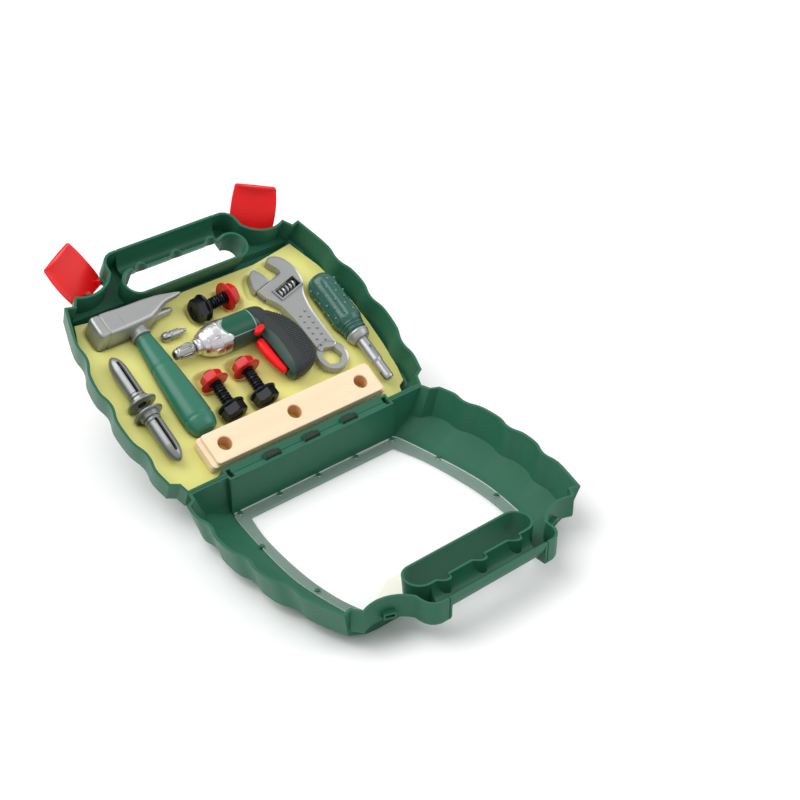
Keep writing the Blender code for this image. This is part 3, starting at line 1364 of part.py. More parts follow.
def build():
    for thing in list(bpy.data.objects):
        bpy.data.objects.remove(thing)
    green = make_material("green_plastic", (0.035, 0.145, 0.085), 0.42)
    dark_green = make_material("dark_green_plastic", (0.012, 0.062, 0.042), 0.38)
    teal = make_material("teal_plastic", (0.025, 0.22, 0.15), 0.4)
    red = make_material("red_plastic", (0.62, 0.012, 0.016), 0.25)
    yellow = make_material("yellow_sheet", (0.68, 0.64, 0.20), 0.3)
    label_yellow = make_material("label_yellow", (0.93, 0.89, 0.28), 0.35)
    grey = make_material("grey_plastic", (0.36, 0.37, 0.38), 0.38)
    dark_grey = make_material("dark_grey_plastic", (0.10, 0.10, 0.11), 0.5)
    steel = make_material("steel_plastic", (0.5, 0.5, 0.5), 0.3, 0.6)
    chrome = make_material("chrome_plastic", (0.75, 0.75, 0.76), 0.2, 0.9)
    black = make_material("black_plastic", (0.012, 0.014, 0.02), 0.35)
    rubber = make_material("grip_rubber", (0.035, 0.04, 0.045), 0.7)
    wood = make_material("beech", (0.86, 0.72, 0.52), 0.6)
    clear = make_material("clear_pane", (0.9, 0.93, 0.92), 0.08, 0.0, 0.25)

    hinge_place = (0.0, origin_line, lid_depth)
    lid_frame = add_frame("lid_frame", hinge_place, (0, 0, math.pi))
    tray_frame = add_frame("tray_frame", hinge_place, (open_tilt, 0, 0))

    make_lid(lid_frame, green)
    make_pane(lid_frame, clear)
    make_label(lid_frame, label_yellow)
    make_tray(tray_frame, green)
    make_insert(tray_frame, yellow)
    make_latch("latch_left", -1, left_latch_open, tray_frame, red)
    make_latch("latch_right", 1, right_latch_open, tray_frame, red)
    make_hammer(tray_frame, grey, teal)
    for index, (place, side) in enumerate(plug_places):
        make_plug("wall_plug_%d" % (index + 1), place, side, tray_frame, grey)
    make_bit(tray_frame, steel)
    for index, place in enumerate(bolt_places):
        make_bolt(index + 1, place, tray_frame, black, red)
    make_wrench(tray_frame, grey, dark_grey)
    make_screwdriver(tray_frame, dark_green, grey, steel)
    make_beam(tray_frame, wood)
    make_driver(tray_frame, dark_green, chrome, grey, rubber, red, dark_grey)


build()
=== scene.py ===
import json
import math

import bmesh
import bpy
from mathutils import Matrix, Vector
from mathutils.bvhtree import BVHTree


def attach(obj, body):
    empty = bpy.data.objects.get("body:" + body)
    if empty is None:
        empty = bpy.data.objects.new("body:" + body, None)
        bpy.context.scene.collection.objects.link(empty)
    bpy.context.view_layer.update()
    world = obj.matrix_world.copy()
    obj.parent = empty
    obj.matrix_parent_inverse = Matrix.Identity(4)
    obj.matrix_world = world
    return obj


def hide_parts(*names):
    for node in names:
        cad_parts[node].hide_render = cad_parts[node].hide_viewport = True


# Dresses the toy tool box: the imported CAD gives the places, this file gives the looks

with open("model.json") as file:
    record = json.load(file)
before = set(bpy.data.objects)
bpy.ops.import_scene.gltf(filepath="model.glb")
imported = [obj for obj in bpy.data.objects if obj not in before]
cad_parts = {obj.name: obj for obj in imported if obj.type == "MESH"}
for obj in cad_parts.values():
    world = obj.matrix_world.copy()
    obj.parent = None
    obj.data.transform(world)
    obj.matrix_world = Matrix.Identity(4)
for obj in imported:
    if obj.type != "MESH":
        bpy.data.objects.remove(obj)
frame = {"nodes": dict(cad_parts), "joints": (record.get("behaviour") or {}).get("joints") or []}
nodes = frame["nodes"]
joints = {joint["name"]: joint for joint in frame["joints"]}
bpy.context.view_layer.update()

mm = 0.001
trayTilt = 29.07
hingePlace = Vector(joints["case_hinge"]["pos_m"])
lidSpace = Matrix.Translation(hingePlace) @ Matrix.Rotation(math.pi, 4, "Z")
traySpace = Matrix.Translation(hingePlace) @ Matrix.Rotation(math.radians(trayTilt), 4, "X")


def spaceAt(place, turn=0.0):
    # a place on the tray in millimetres, and a turn about the third axis in degrees
    return traySpace @ (Matrix.Translation(Vector(place) * mm) @ Matrix.Rotation(math.radians(turn), 4, "Z"))


# Mesh helpers, all in millimetres until a piece is placed

def addObject(name, data):
    obj = bpy.data.objects.new(name, data)
    bpy.context.scene.collection.objects.link(obj)
    return obj


def fixNormals(obj):
    bm = bmesh.new()
    bm.from_mesh(obj.data)
    bmesh.ops.remove_doubles(bm, verts=bm.verts, dist=1e-5)
    bmesh.ops.recalc_face_normals(bm, faces=bm.faces)
    bm.to_mesh(obj.data)
    bm.free()
    return obj


def newObject(name, verts, faces):
    mesh = bpy.data.meshes.new(name)
    mesh.from_pydata([tuple(v) for v in verts], [], faces)
    return fixNormals(addObject(name, mesh))


def applyModifiers(obj):
    graph = bpy.context.evaluated_depsgraph_get()
    mesh = bpy.data.meshes.new_from_object(obj.evaluated_get(graph))
    obj.modifiers.clear()
    obj.data = mesh
    return obj


def bevelEdges(obj, width, angle=35):
    bevel = obj.modifiers.new("edges", "BEVEL")
    bevel.width = width
    bevel.segments = 2
    bevel.limit_method = "ANGLE"
    bevel.angle_limit = math.radians(angle)
    bevel.use_clamp_overlap = True
    return applyModifiers(obj)


def combine(obj, operation, tools):
    for tool in tools:
        cutter = obj.modifiers.new("cut", "BOOLEAN")
        cutter.operation = operation
        cutter.object = tool
        cutter.solver = "EXACT"
        applyModifiers(obj)
        bpy.data.objects.remove(tool)
    return obj


def cutAll(obj, *tools):
    return combine(obj, "DIFFERENCE", tools)


def joinAll(obj, *tools):
    return combine(obj, "UNION", tools)


def joinPieces(name, pieces):
    bm = bmesh.new()
    slots = []
    for piece in pieces:
        start = len(bm.faces)
        bm.from_mesh(piece.data)
        bm.faces.ensure_lookup_table()
        for face in bm.faces[start:]:
            material = piece.data.materials[face.material_index] if piece.data.materials else None
            if material not in slots:
                slots.append(material)
            face.material_index = slots.index(material)
        bpy.data.objects.remove(piece)
    mesh = bpy.data.meshes.new(name)
    bm.to_mesh(mesh)
    bm.free()
    for material in slots:
        mesh.materials.append(material)
    return addObject(name, mesh)


def paint(obj, *names):
    obj.data.materials.clear()
    for name in names:
        obj.data.materials.append(paints[name])
    return obj


def tinted(obj, names, test):
    # two finishes: the second one for the faces that pass the test
    paint(obj, *names)
    for face in obj.data.polygons:
        face.material_index = 1 if test(face) else 0
    return obj


def shift(obj, place, turn=0.0, axis="Z"):
    obj.data.transform(Matrix.Translation(place) @ Matrix.Rotation(math.radians(turn), 4, axis))
    return obj


def flippedCopy(obj):
    copy = addObject(obj.name + "_left", obj.data.copy())
    copy.data.transform(Matrix.Scale(-1, 4, (1, 0, 0)))
    copy.data.flip_normals()
    return copy


def placePiece(obj, space, body, replaced=(), angle=35, unit=mm):
    # bakes the place into the mesh, smooths it and hands it to its body
    obj.data.transform(space @ Matrix.Scale(unit, 4))
    if space.to_3x3().determinant() < 0:
        obj.data.flip_normals()
    obj.data.shade_smooth()
    obj.data.set_sharp_from_angle(angle=math.radians(angle))
    weighted = obj.modifiers.new("normals", "WEIGHTED_NORMAL")
    weighted.keep_sharp = True
    applyModifiers(obj)
    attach(obj, body)
    if replaced:
        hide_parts(*replaced)
    return obj


def loft(name, rings, capped=True):
    verts = [point for ring in rings for point in ring]
    size = len(rings[0])
    faces = []
    for row in range(len(rings) - 1):
        for index in range(size):
            after = (index + 1) % size
            faces.append((row * size + index, row * size + after,
                          (row + 1) * size + after, (row + 1) * size + index))
    if capped:
        faces.append(tuple(range(size)))
        faces.append(tuple((len(rings) - 1) * size + index for index in range(size)))
    return newObject(name, verts, faces)


def ellipse(count, halfA=1.0, halfB=1.0, square=2.0):
    # a squared ellipse: 2 is round, higher is boxier
    points = []
    for index in range(count):
        angle = 2 * math.pi * (index + 0.5) / count
        c, s = math.cos(angle), math.sin(angle)
        points.append((halfA * math.copysign(abs(c) ** (2 / square), c),
                       halfB * math.copysign(abs(s) ** (2 / square), s)))
    return points


def rounded(points, radius, steps=4):
    # a profile with its inner corners rounded off
    result = [points[0]]
    for before, corner, after in zip(points, points[1:], points[2:]):
        a, c, b = Vector(before), Vector(corner), Vector(after)
        reach = min(radius, (a - c).length * 0.48, (b - c).length * 0.48)
        start, end = c + (a - c).normalized() * reach, c + (b - c).normalized() * reach
        for step in range(steps + 1):
            t = step / steps
            result.append(tuple(start * (1 - t) ** 2 + c * 2 * t * (1 - t) + end * t ** 2))
    result.append(points[-1])
    return result


def turned(name, profile, count=48, edge=0.0):
    # a solid about x from pairs of place and radius
    if edge:
        profile = rounded(profile, edge)
    return loft(name, [[(x, a * max(radius, 0.01), b * max(radius, 0.01)) for a, b in ellipse(count)]
                       for x, radius in profile])


def levelled(outline, height):
    return [(x, y, height) for x, y in outline]


def prism(name, outline, low, high):
    return loft(name, [levelled(outline, low), levelled(outline, high)])


def box(name, low, high):
    outline = [(low[0], low[1]), (high[0], low[1]), (high[0], high[1]), (low[0], high[1])]
    return prism(name, outline, low[2], high[2])


def alongX(name, section, start, end):
    return loft(name, [[(x, y, z) for y, z in section] for x in (start, end)])


def alongY(name, section, start, end):
    return loft(name, [[(x, y, z) for x, z in section] for y in (start, end)])


def roundBar(name, radius, start, end):
    return alongX(name, ellipse(24, radius, radius), start, end)


def circleAt(x, y, radius, count):
    return [(x + a, y + b) for a, b in ellipse(count, radius, radius)]


def angles(start, end, steps):
    return [math.radians(start + (end - start) * step / steps) for step in range(steps + 1)]


def cornerPull(radius, into):
    # how far a round corner draws an edge in, at some distance from the corner's end
    return 0.0 if into >= radius else radius - math.sqrt(max(radius ** 2 - (radius - into) ** 2, 0))


def slotOutline(start, end, half, nose):
    # a long hole with round ends, the first of them drawn out to the length of its nose
    return ([(start - nose * math.sin(a), half * math.cos(a)) for a in angles(0, 180, 8)]
            + [(end + half * math.sin(a), -half * math.cos(a)) for a in angles(0, 180, 8)])


def smoothSteps(stations, steps=4):
    # curved in-between values through rows of numbers; a repeated first number keeps a crease
    rows = []
    last = len(stations) - 1
    for index in range(last):
        p0, p1 = stations[max(index - 1, 0)], stations[index]
        p2, p3 = stations[index + 1], stations[min(index + 2, last)]
        for step in range(steps):
            t = step / steps
            row = []
            for a, b, c, d in zip(p0, p1, p2, p3):
                row.append(0.5 * (2 * b + (c - a) * t + (2 * a - 5 * b + 4 * c - d) * t * t
                                  + (3 * b - a - 3 * c + d) * t ** 3))
            rows.append(row)
    rows.append(list(stations[last]))
    return rows


def cadCopy(nodeName, name):
    # the CAD solid as one clean mesh, already in its place, in metres
    obj = addObject(name, nodes[nodeName].data.copy())
    bm = bmesh.new()
    bm.from_mesh(obj.data)
    bmesh.ops.remove_doubles(bm, verts=bm.verts, dist=2e-6)
    bmesh.ops.dissolve_limit(bm, angle_limit=math.radians(0.6), verts=bm.verts, edges=bm.edges)
    bm.to_mesh(obj.data)
    bm.free()
    return obj


# Materials

def newMaterial(name):
    material = bpy.data.materials.new(name)
    material.use_nodes = True
    return material, material.node_tree, material.node_tree.nodes["Principled BSDF"]


def rangeNode(tree, source, target, low, high):
    ramp = tree.nodes.new("ShaderNodeMapRange")
    ramp.inputs["To Min"].default_value = low
    ramp.inputs["To Max"].default_value = high
    tree.links.new(source, ramp.inputs["Value"])
    tree.links.new(ramp.outputs["Result"], target)


def bumpNode(tree, shader, source, strength, depth):
    bump = tree.nodes.new("ShaderNodeBump")
    bump.inputs["Strength"].default_value = strength
    bump.inputs["Distance"].default_value = depth
    tree.links.new(source, bump.inputs["Height"])
    tree.links.new(bump.outputs["Normal"], shader.inputs["Normal"])


def noiseNode(tree, coords, scale, detail, roughness=0.55, stretch=(1, 1, 1)):
    mapping = tree.nodes.new("ShaderNodeMapping")
    mapping.inputs["Scale"].default_value = stretch
    tree.links.new(coords.outputs["Object"], mapping.inputs["Vector"])
    texture = tree.nodes.new("ShaderNodeTexNoise")
    texture.inputs["Scale"].default_value = scale
    texture.inputs["Detail"].default_value = detail
    texture.inputs["Roughness"].default_value = roughness
    tree.links.new(mapping.outputs["Vector"], texture.inputs["Vector"])
    return texture.outputs["Fac"]


def plastic(name, colour, roughness, grain=2600, grainDepth=0.00001, grainStrength=0.25, metallic=0.0,
            roughSpread=0.06, gloss=0.5):
    # moulded plastic: faint clouds of colour, smudges in the gloss and a fine grain
    clouds = {"spread": 0.06, "scale": 60, "smudges": 138, "leastRough": 0.03}
    material, tree, shader = newMaterial(name)
    shader.inputs["Metallic"].default_value = metallic
    shader.inputs["Specular IOR Level"].default_value = gloss
    coords = tree.nodes.new("ShaderNodeTexCoord")
    mix = tree.nodes.new("ShaderNodeMix")
    mix.data_type = "RGBA"
    mix.inputs[6].default_value = (*[c * (1 - clouds["spread"]) for c in colour], 1)
    mix.inputs[7].default_value = (*[min(1, c * (1 + clouds["spread"])) for c in colour], 1)
    tree.links.new(noiseNode(tree, coords, clouds["scale"], 4), mix.inputs[0])
    tree.links.new(mix.outputs[2], shader.inputs["Base Color"])
    rangeNode(tree, noiseNode(tree, coords, clouds["smudges"], 5, 0.65), shader.inputs["Roughness"],
              max(clouds["leastRough"], roughness - roughSpread), roughness + roughSpread)
    bumpNode(tree, shader, noiseNode(tree, coords, grain, 2, 0.6), grainStrength, grainDepth)
    return material


def woodMaterial():
    wood = {"pale": (0.91, 0.74, 0.52), "dark": (0.87, 0.67, 0.45), "rings": 34, "flecks": 900,
            "fleckShare": 0.35, "from": 0.42, "to": 0.80, "roughness": 0.58}
    material, tree, shader = newMaterial("beech")
    coords = tree.nodes.new("ShaderNodeTexCoord")
    blend = tree.nodes.new("ShaderNodeMath")
    blend.operation = "MULTIPLY_ADD"
    blend.inputs[1].default_value = wood["fleckShare"]
    tree.links.new(noiseNode(tree, coords, wood["flecks"], 2, 0.7, (0.12, 1.0, 1.0)), blend.inputs[0])
    tree.links.new(noiseNode(tree, coords, wood["rings"], 6, 0.6, (0.15, 2.2, 3.2)), blend.inputs[2])
    ramp = tree.nodes.new("ShaderNodeValToRGB")
    for element, place, tone in zip(ramp.color_ramp.elements, ("from", "to"), ("pale", "dark")):
        element.position = wood[place]
        element.color = (*wood[tone], 1)
    tree.links.new(blend.outputs[0], ramp.inputs["Fac"])
    tree.links.new(ramp.outputs["Color"], shader.inputs["Base Color"])
    shader.inputs["Roughness"].default_value = wood["roughness"]
    bumpNode(tree, shader, blend.outputs[0], 0.25, 0.00006)
    return material


def clearMaterial(name, tint, low, high, roughness):
    # clear sheet: nearly nothing seen face on, more at a slant
    material, tree, shader = newMaterial(name)
    shader.inputs["Base Color"].default_value = (*tint, 1)
    shader.inputs["Roughness"].default_value = roughness
    facing = tree.nodes.new("ShaderNodeLayerWeight")
    facing.inputs["Blend"].default_value = 0.5
    rangeNode(tree, facing.outputs["Facing"], shader.inputs["Alpha"], low, high)
    return material


# Colour, roughness and what else is not as usual
finishes = {
    "caseGreen": ((0.020, 0.118, 0.068), 0.42, {"grain": 1500, "grainDepth": 0.00004, "gloss": 0.28}),
    "handleTeal": ((0.018, 0.155, 0.098), 0.34, {"grain": 1800, "grainDepth": 0.00003}),
    "gripGreen": ((0.024, 0.104, 0.080), 0.18, {}),
    # painted highlight: the screwdriver's grip dots are a lighter green for the light their domes catch
    "gripDotHighlight": ((0.10, 0.26, 0.20), 0.25, {}),
    "latchRed": ((0.86, 0.008, 0.010), 0.30, {"gloss": 0.28}),
    "nutRed": ((0.60, 0.012, 0.014), 0.25, {"gloss": 0.4}),
    "sheetYellow": ((0.82, 0.79, 0.25), 0.24, {"grain": 500, "grainDepth": 0.00006}),
    "boltBlack": ((0.004, 0.006, 0.010), 0.22, {"gloss": 0.26}),
    "toolGrey": ((0.385, 0.395, 0.39), 0.36, {"grain": 2200, "grainDepth": 0.00003, "metallic": 0.6}),
    # dark for the worm's core and pin, and painted shade on the wrench window's inner walls
    "wormDarkAndWindowShade": ((0.012, 0.013, 0.016), 0.4, {}),
    "shaftSilver": ((0.40, 0.41, 0.42), 0.30, {"grainStrength": 0.04, "metallic": 0.7}),
    "noseChrome": ((0.74, 0.74, 0.75), 0.30, {"grainStrength": 0.02, "metallic": 1.0, "roughSpread": 0.02}),
    "rubberBlack": ((0.028, 0.033, 0.034), 0.60, {"grain": 900, "grainDepth": 0.0001, "grainStrength": 0.5,
                                                  "gloss": 0.35}),
    # painted highlight: the grip's ribs are a lighter grey for the light they catch
    "rubberRibHighlight": ((0.060, 0.066, 0.068), 0.55, {"gloss": 0.35}),
    # painted shade for the hooks and bars deep in the hinge slots
    "hingeSlotShade": ((0.005, 0.022, 0.014), 0.6, {}),
    # dark for the hidden motor and cells, and painted shade inside the plugs' bores
    "innerDarkAndBoreShade": ((0.02, 0.022, 0.024), 0.6, {}),
    "plugSilver": ((0.27, 0.285, 0.28), 0.30, {"metallic": 0.6}),
    "wormSilver": ((0.50, 0.51, 0.51), 0.28, {"metallic": 0.5}),
    "chuckGrey": ((0.42, 0.43, 0.43), 0.24, {"grainStrength": 0.04, "metallic": 0.85}),
    "driverGreen": ((0.024, 0.060, 0.045), 0.30, {"grain": 1500, "grainDepth": 0.00003, "gloss": 0.4}),
    "labelGreen": ((0.007, 0.085, 0.050), 0.34, {"gloss": 0.3}),
    "labelEdge": ((0.20, 0.36, 0.30), 0.28, {}),
    "holeBrown": ((0.72, 0.40, 0.20), 0.7, {"grain": 900, "grainDepth": 0.0001}),
    "labelYellow": ((0.93, 0.89, 0.30), 0.32, {}),
    "labelBack": ((0.90, 0.88, 0.76), 0.5, {}),
}
paints = {name: plastic(name, colour, roughness, **more)
          for name, (colour, roughness, more) in finishes.items()}
paints["beech"] = woodMaterial()
paints["pane"] = clearMaterial("pane", (0.80, 0.84, 0.84), 0.05, 0.19, 0.08)
# painted highlight: a near-white, nearly opaque edge for the light the pane's rim catches
paints["paneEdgeHighlight"] = clearMaterial("paneEdgeHighlight", (0.95, 0.98, 0.97), 0.75, 0.95, 0.10)
print("stage: materials")


# The case: both halves are lofted from the same outline, in millimetres from the hinge's axis

case = {"halfWidth": 163, "height": 222.7, "wall": 2.5, "rimGap": 0.4, "scoop": 4.8, "scoopSteps": 9,
        "lidDepth": 44.2, "lidCrease": 30, "lidInset": 8, "trayDepth": 34, "trayCrease": 27,
        "trayInset": 4, "backInset": 11, "tipShare": 0.62, "footShare": 0.043, "topShare": 0.024,
        "bulge": 2.6, "frame": 3.2,
        "footInner": 97, "recess": 5, "stripHalf": 92, "strip": 2.5, "stripReach": 8,
        "holeHalf": 71, "holeMiddle": 222, "holeRadius": 13.5, "holeDraft": 5.5, "gripFar": 262.7,
        "waves": (40, -2, -44), "waveHalf": 15, "waveRise": 6, "gripHalf": 57.5, "lidGrip": 19,
        "trayGrip": 23, "lidShoulder": 25, "trayShoulder": 28, "shoulderLow": 206, "shoulderFlat": 4,
        "shoulderEdge": ((0.7, 1.4), (2.2, 0)), "padRadius": 34.5, "padHalf": 23.3, "edge": 0.45,
        "gapPlace": 58.2, "gapHalf": 0.55, "lidGaps": ((250, 270, -26, -17), (261.6, 266, -22, 2),
                                                       (255, 270, -1.6, 2)),
        "trayGaps": ((257, 270, -1.6, 2), (261.6, 266, -26, 2)), "trayFloor": 31.8,
        "lowWall": ((-57, 2), (-49, -5.5), (49, -5.5), (57, 2)), "lowFrom": 232, "lowTo": 248}
hinge = {"pitch": 46.7, "width": 13, "outer": 3.6, "room": 3.9, "bar": 1.8, "eye": 2.1, "earReach": 5.1,
         "gap": 0.3, "earEnd": 2.8, "roomSide": 1.25, "notchSide": 3.1, "mouth": (-168, -132, -96),
         "stripTop": -0.2, "stripUnder": -2.7, "shadeSide": 2.9, "shadeReach": 5.6, "shadeArea": 30}
stud = {"row": 11.5, "sides": ((0.664, 0.290), (0.666, 0.655)), "hole": 1.8,
        "cap": ((1.5, -1), (1.5, 2.1), (2.6, 2.1), (2.6, 2.6), (2.2, 3.1), (1.2, 3.3))}
pane = {"low": -40.7, "thick": 1.5, "bottom": 8, "top": 208.5, "overlap": 6.5, "edge": 0.6, "cornerIn": 6,
        "flat": 0.98, "faceArea": 20}
striker = {"x": 97, "z": -17, "block": ((-6, -1.25, -3.25), (6, 5, 3.25)),
           "socket": ((-4.2, -4.5, -1.45), (4.2, 7, 1.45))}
rimShares = [(0.871, 0.001), (0.888, 0.045), (0.942, 0.065), (0.971, 0.159), (0.991, 0.291),
             (0.999, 0.433), (0.993, 0.560), (0.977, 0.674), (0.945, 0.805), (0.861, 1.0), (0.806, 0.989)]
plateShares = [(0.560, 0.016), (0.573, 0.050), (0.585, 0.085), (0.603, 0.161), (0.628, 0.291),
               (0.650, 0.433), (0.658, 0.560), (0.646, 0.673), (0.620, 0.802), (0.590, 0.961),
               (0.540, 0.961)]
windowShares = [(0.541, 0.088), (0.592, 0.233), (0.620, 0.404), (0.629, 0.593), (0.605, 0.763),
                (0.546, 0.912)]
fingerWave = [(0.5, 0), (0.47, 0.22), (0.4, 0.75), (0.3, 0.94), (0.1, 1), (-0.08, 0.86), (-0.25, 0.55),
              (-0.4, 0.18), (-0.5, 0)]
notchCorner, padCorner, padEnd = (131.4, 220.2), (124.6, 229.8), (79.5, 241.5)
shoulderPost = [(79.2, 247), (78.2, 252.4), (75.6, 257.2), (71.6, 260.6), (66.5, 262.4)]


def offsetLoop(outline, distance):
    points = [Vector(point) for point in outline]
    area = sum(a.x * b.y - b.x * a.y for a, b in zip(points, points[1:] + points[:1]))
    side = distance if area > 0 else -distance
    moved = []
    for index, point in enumerate(points):
        before = (point - points[index - 1]).normalized()
        after = (points[(index + 1) % len(points)] - point).normalized()
        normal = Vector((before.y + after.y, -before.x - after.x))
        moved.append(tuple(point + normal * (side / max(normal.length_squared / 2, 0.3))))
    return moved


def arcPoints(start, end, sagitta, steps):
    a, b = Vector(start), Vector(end)
    half = (b - a).length / 2
    radius = (half * half + sagitta * sagitta) / (2 * sagitta)
    along = (b - a).normalized()
    across = Vector((-along.y, along.x))
    points = []
    for step in range(1, steps):
        place = half * (2 * step / steps - 1)
        depth = math.sqrt(radius * radius - place * place) - (radius - sagitta)
        points.append(tuple((a + b) / 2 + along * place + across * depth))
    return points


def bothSides(right):
    return right + [(-x, y) for x, y in reversed(right)]


def corners(shares):
    return [(x * case["halfWidth"], y * case["height"]) for x, y in shares]


def scooped(points, sagitta, gather):
    # the outline with its finger scoops, their ridges softened
    result, soft = [], []
    for index, corner in enumerate(points):
        result.append(corner)
        soft.append(3 <= index <= 8)
        after = points[min(index + 1, len(points) - 1)]
        if index in (3, 5, 7):
            middle = ((corner[0] + after[0]) / 2, (corner[1] + after[1]) / 2)
            for place in arcPoints(corner, after, max(sagitta, 0.3), case["scoopSteps"]):
                result.append(tuple(p + (m - p) * gather for p, m in zip(place, middle)))
                soft.append(True)
        elif index in (2, 4, 6, 8):
            for step in range(1, 4):
                result.append(tuple(a + (b - a) * step / 4 for a, b in zip(corner, after)))
                soft.append(index != 8 or step < 2)
    for _ in range(2):
        result = [tuple((a + 2 * b + c) / 4 for a, b, c in zip(result[i - 1], p, result[i + 1]))
                  if soft[i] else p for i, p in enumerate(result)]
    return result


def sideInset(points, inset, endsToo):
    # the outline moved in at its sides, and at the foot and the top too where the ends follow
    moved = []
    for index, (x, y) in enumerate(points):
        foot = max(0.0, 1 - index / 3) * case["footShare"] if endsToo else 0.0
        top = case["topShare"] * case["height"] if endsToo and index >= len(points) - 2 else 0.0
        moved.append((x - inset - foot * case["halfWidth"], y - top))
    return moved


def lidRings():
    rim, plate = corners(rimShares), corners(plateShares)
    crease = sideInset(rim, case["lidInset"], True)
    tips = [(a[0] + (b[0] - a[0]) * case["tipShare"], a[1] + (b[1] - a[1]) * case["tipShare"])
            for a, b in zip(crease, plate)]
    return [(rim, 1, 0), (crease, 1, 0), (tips, 0, 0.7), (plate, 0, 0)]


def trayRings():
    rim = corners(rimShares)
    return [(rim, 1, 0), (sideInset(rim, case["trayInset"], False), 1, 0),
            (sideInset(rim, case["backInset"], True), 0.3, 0.2)]


def ringLevels(rings, depths, inset=0.0):
    levels = []
    for (points, scoop, gather), depth in zip(rings, depths):
        outline = offsetLoop(bothSides(scooped(points, case["scoop"] * scoop, gather)), -inset)
        levels.append([(x, y, -depth) for x, y in outline])
    return levels


def holeOutline(grow, draft, mirrored):
    radius, middle = case["holeRadius"] - draft / 2, case["holeMiddle"] + draft / 2
    end, reach = case["holeHalf"] - case["holeRadius"], radius + grow
    right = [(end + reach * math.cos(a), middle + reach * math.sin(a)) for a in angles(-90, 90, 16)]
    waves = [(place + case["waveHalf"] * share, middle + reach + case["waveRise"] * rise)
             for place in case["waves"] for share, rise in fingerWave]
    if mirrored:
        waves = [(-x, y) for x, y in reversed(waves)]
    return right + waves + [(-x, y) for x, y in reversed(right)]


def shoulderOutline():
    inner, low = case["gripHalf"] - 2, case["shoulderLow"]
    sagitta = case["padRadius"] - math.sqrt(case["padRadius"] ** 2 - case["padHalf"] ** 2)
    pad = arcPoints(padCorner, padEnd, sagitta, 14)
    return [(inner, low), (notchCorner[0], low), notchCorner, padCorner, *pad, padEnd, *shoulderPost,
            (inner, case["gripFar"])]


def gripBar(name, depth, inset, half, opened=False):
    near, far = case["holeMiddle"] + case["holeRadius"] + inset, case["gripFar"] - inset
    rim = -case["rimGap"] / 2
    section = [((near + far) / 2 + (far - near) / 2 * math.cos(a), rim - (depth - inset) * math.sin(a))
               for a in angles(0, 180, 18)]
    if opened:
        section = [(section[0][0], 2)] + section + [(section[-1][0], 2)]
    return alongX(name, section, -half, half)


def halfShell(name, rings, depths, hollow, shoulderDepth, gripDepth, mirrored):
    rim, wall, foot, draft = case["rimGap"] / 2, case["wall"], case["footInner"], case["holeDraft"]
    deepest = max(depths) + 2
    shell = loft(name, ringLevels(rings, [rim] + depths))
    outline = shoulderOutline()
    levels = [levelled(outline, -rim), levelled(outline, case["shoulderFlat"] - shoulderDepth)]
    for inset, lift in case["shoulderEdge"]:
        levels.append(levelled(offsetLoop(outline, -inset), lift - shoulderDepth))
    shoulder = loft("shoulder", levels)
    joinAll(shell, flippedCopy(shoulder), shoulder, gripBar("grip", gripDepth, 0, case["gripHalf"]))
    pocket = prism("pocket", offsetLoop(outline, -wall), wall - shoulderDepth, 2)
    joinAll(hollow, flippedCopy(pocket), pocket,
            gripBar("channel", gripDepth, wall, case["gripHalf"] + 2, True))
    cutAll(hollow, loft("ring", [levelled(holeOutline(wall, draft, mirrored), -deepest),
                                 levelled(holeOutline(wall, 0, mirrored), 4)]),
           box("heel", (-foot - wall, -2, -deepest), (foot + wall, case["recess"] + wall, 4)))
    corner = box("corner", (-foot, -2, -4.5), (-case["stripHalf"], case["recess"], 2))
    return cutAll(shell, hollow, loft("hole", [levelled(holeOutline(0, draft, mirrored), -deepest),
                                               levelled(holeOutline(0, 0, mirrored), 2)]),
                  box("recess", (-foot, -2, -deepest), (foot, case["recess"], -rim - case["strip"])),
                  flippedCopy(corner), corner)


def hingeStrip():
    return box("strip", (-case["stripHalf"], -hinge["stripTop"], hinge["stripUnder"]),
               (case["stripHalf"], case["stripReach"], hinge["stripTop"]))


def strapBar(name, start, end, reach):
    radius, top = hinge["outer"], hinge["stripTop"]
    eye = [(radius * math.cos(a), radius * math.sin(a)) for a in angles(0, 270, 14)]
    return alongX(name, [(reach, hinge["stripUnder"]), (reach, top), (radius, top)] + eye[1:], start, end)


def cutGaps(shell, gaps):
    # thin slits where the handle meets the shoulders
    low, high = -case["gapHalf"], case["gapHalf"]
    for middle in (-case["gapPlace"], case["gapPlace"]):
        for near, far, under, top in gaps:
            cutAll(shell, box("gap", (middle + low, near, under), (middle + high, far, top)))


def hollowLevels(rings, depths, seat, floor):
    levels = ringLevels(rings, depths, case["wall"])
    return loft("hollow", levels + [levelled(bothSides(scooped(seat, 0, 0)), -floor)])


def paneSeat(grow):
    low, high = pane["bottom"] - grow, pane["top"] + grow
    return [(x + pane["overlap"] + grow, min(max(y, low), high)) for x, y in corners(plateShares)]


def studPlaces():
    row = [(hinge["pitch"] * index, stud["row"]) for index in (-2, -1, 0, 1, 2)]
    return row + [(side * case["halfWidth"] * a, case["height"] * b) for side in (-1, 1)
                  for a, b in stud["sides"]]


def padCentre():
    # the middle of the arc that the latch pad follows
    a, b = Vector(padCorner), Vector(padEnd)
    along = (b - a).normalized()
    rise = math.sqrt(case["padRadius"] ** 2 - (b - a).length_squared / 4)
    return (a + b) / 2 + Vector((along.y, -along.x)) * rise


def strikerAt(part):
    # a small upright on the latch pad's arc, or the socket in it
    centre = padCentre()
    turn = math.asin((striker["x"] - centre.x) / case["padRadius"])
    place = (striker["x"], centre.y - case["padRadius"] * math.cos(turn), striker["z"])
    piece = box(part, *striker[part])
    piece.data.transform(Matrix.Translation(place) @ Matrix.Rotation(turn, 4, "Z"))
    return piece


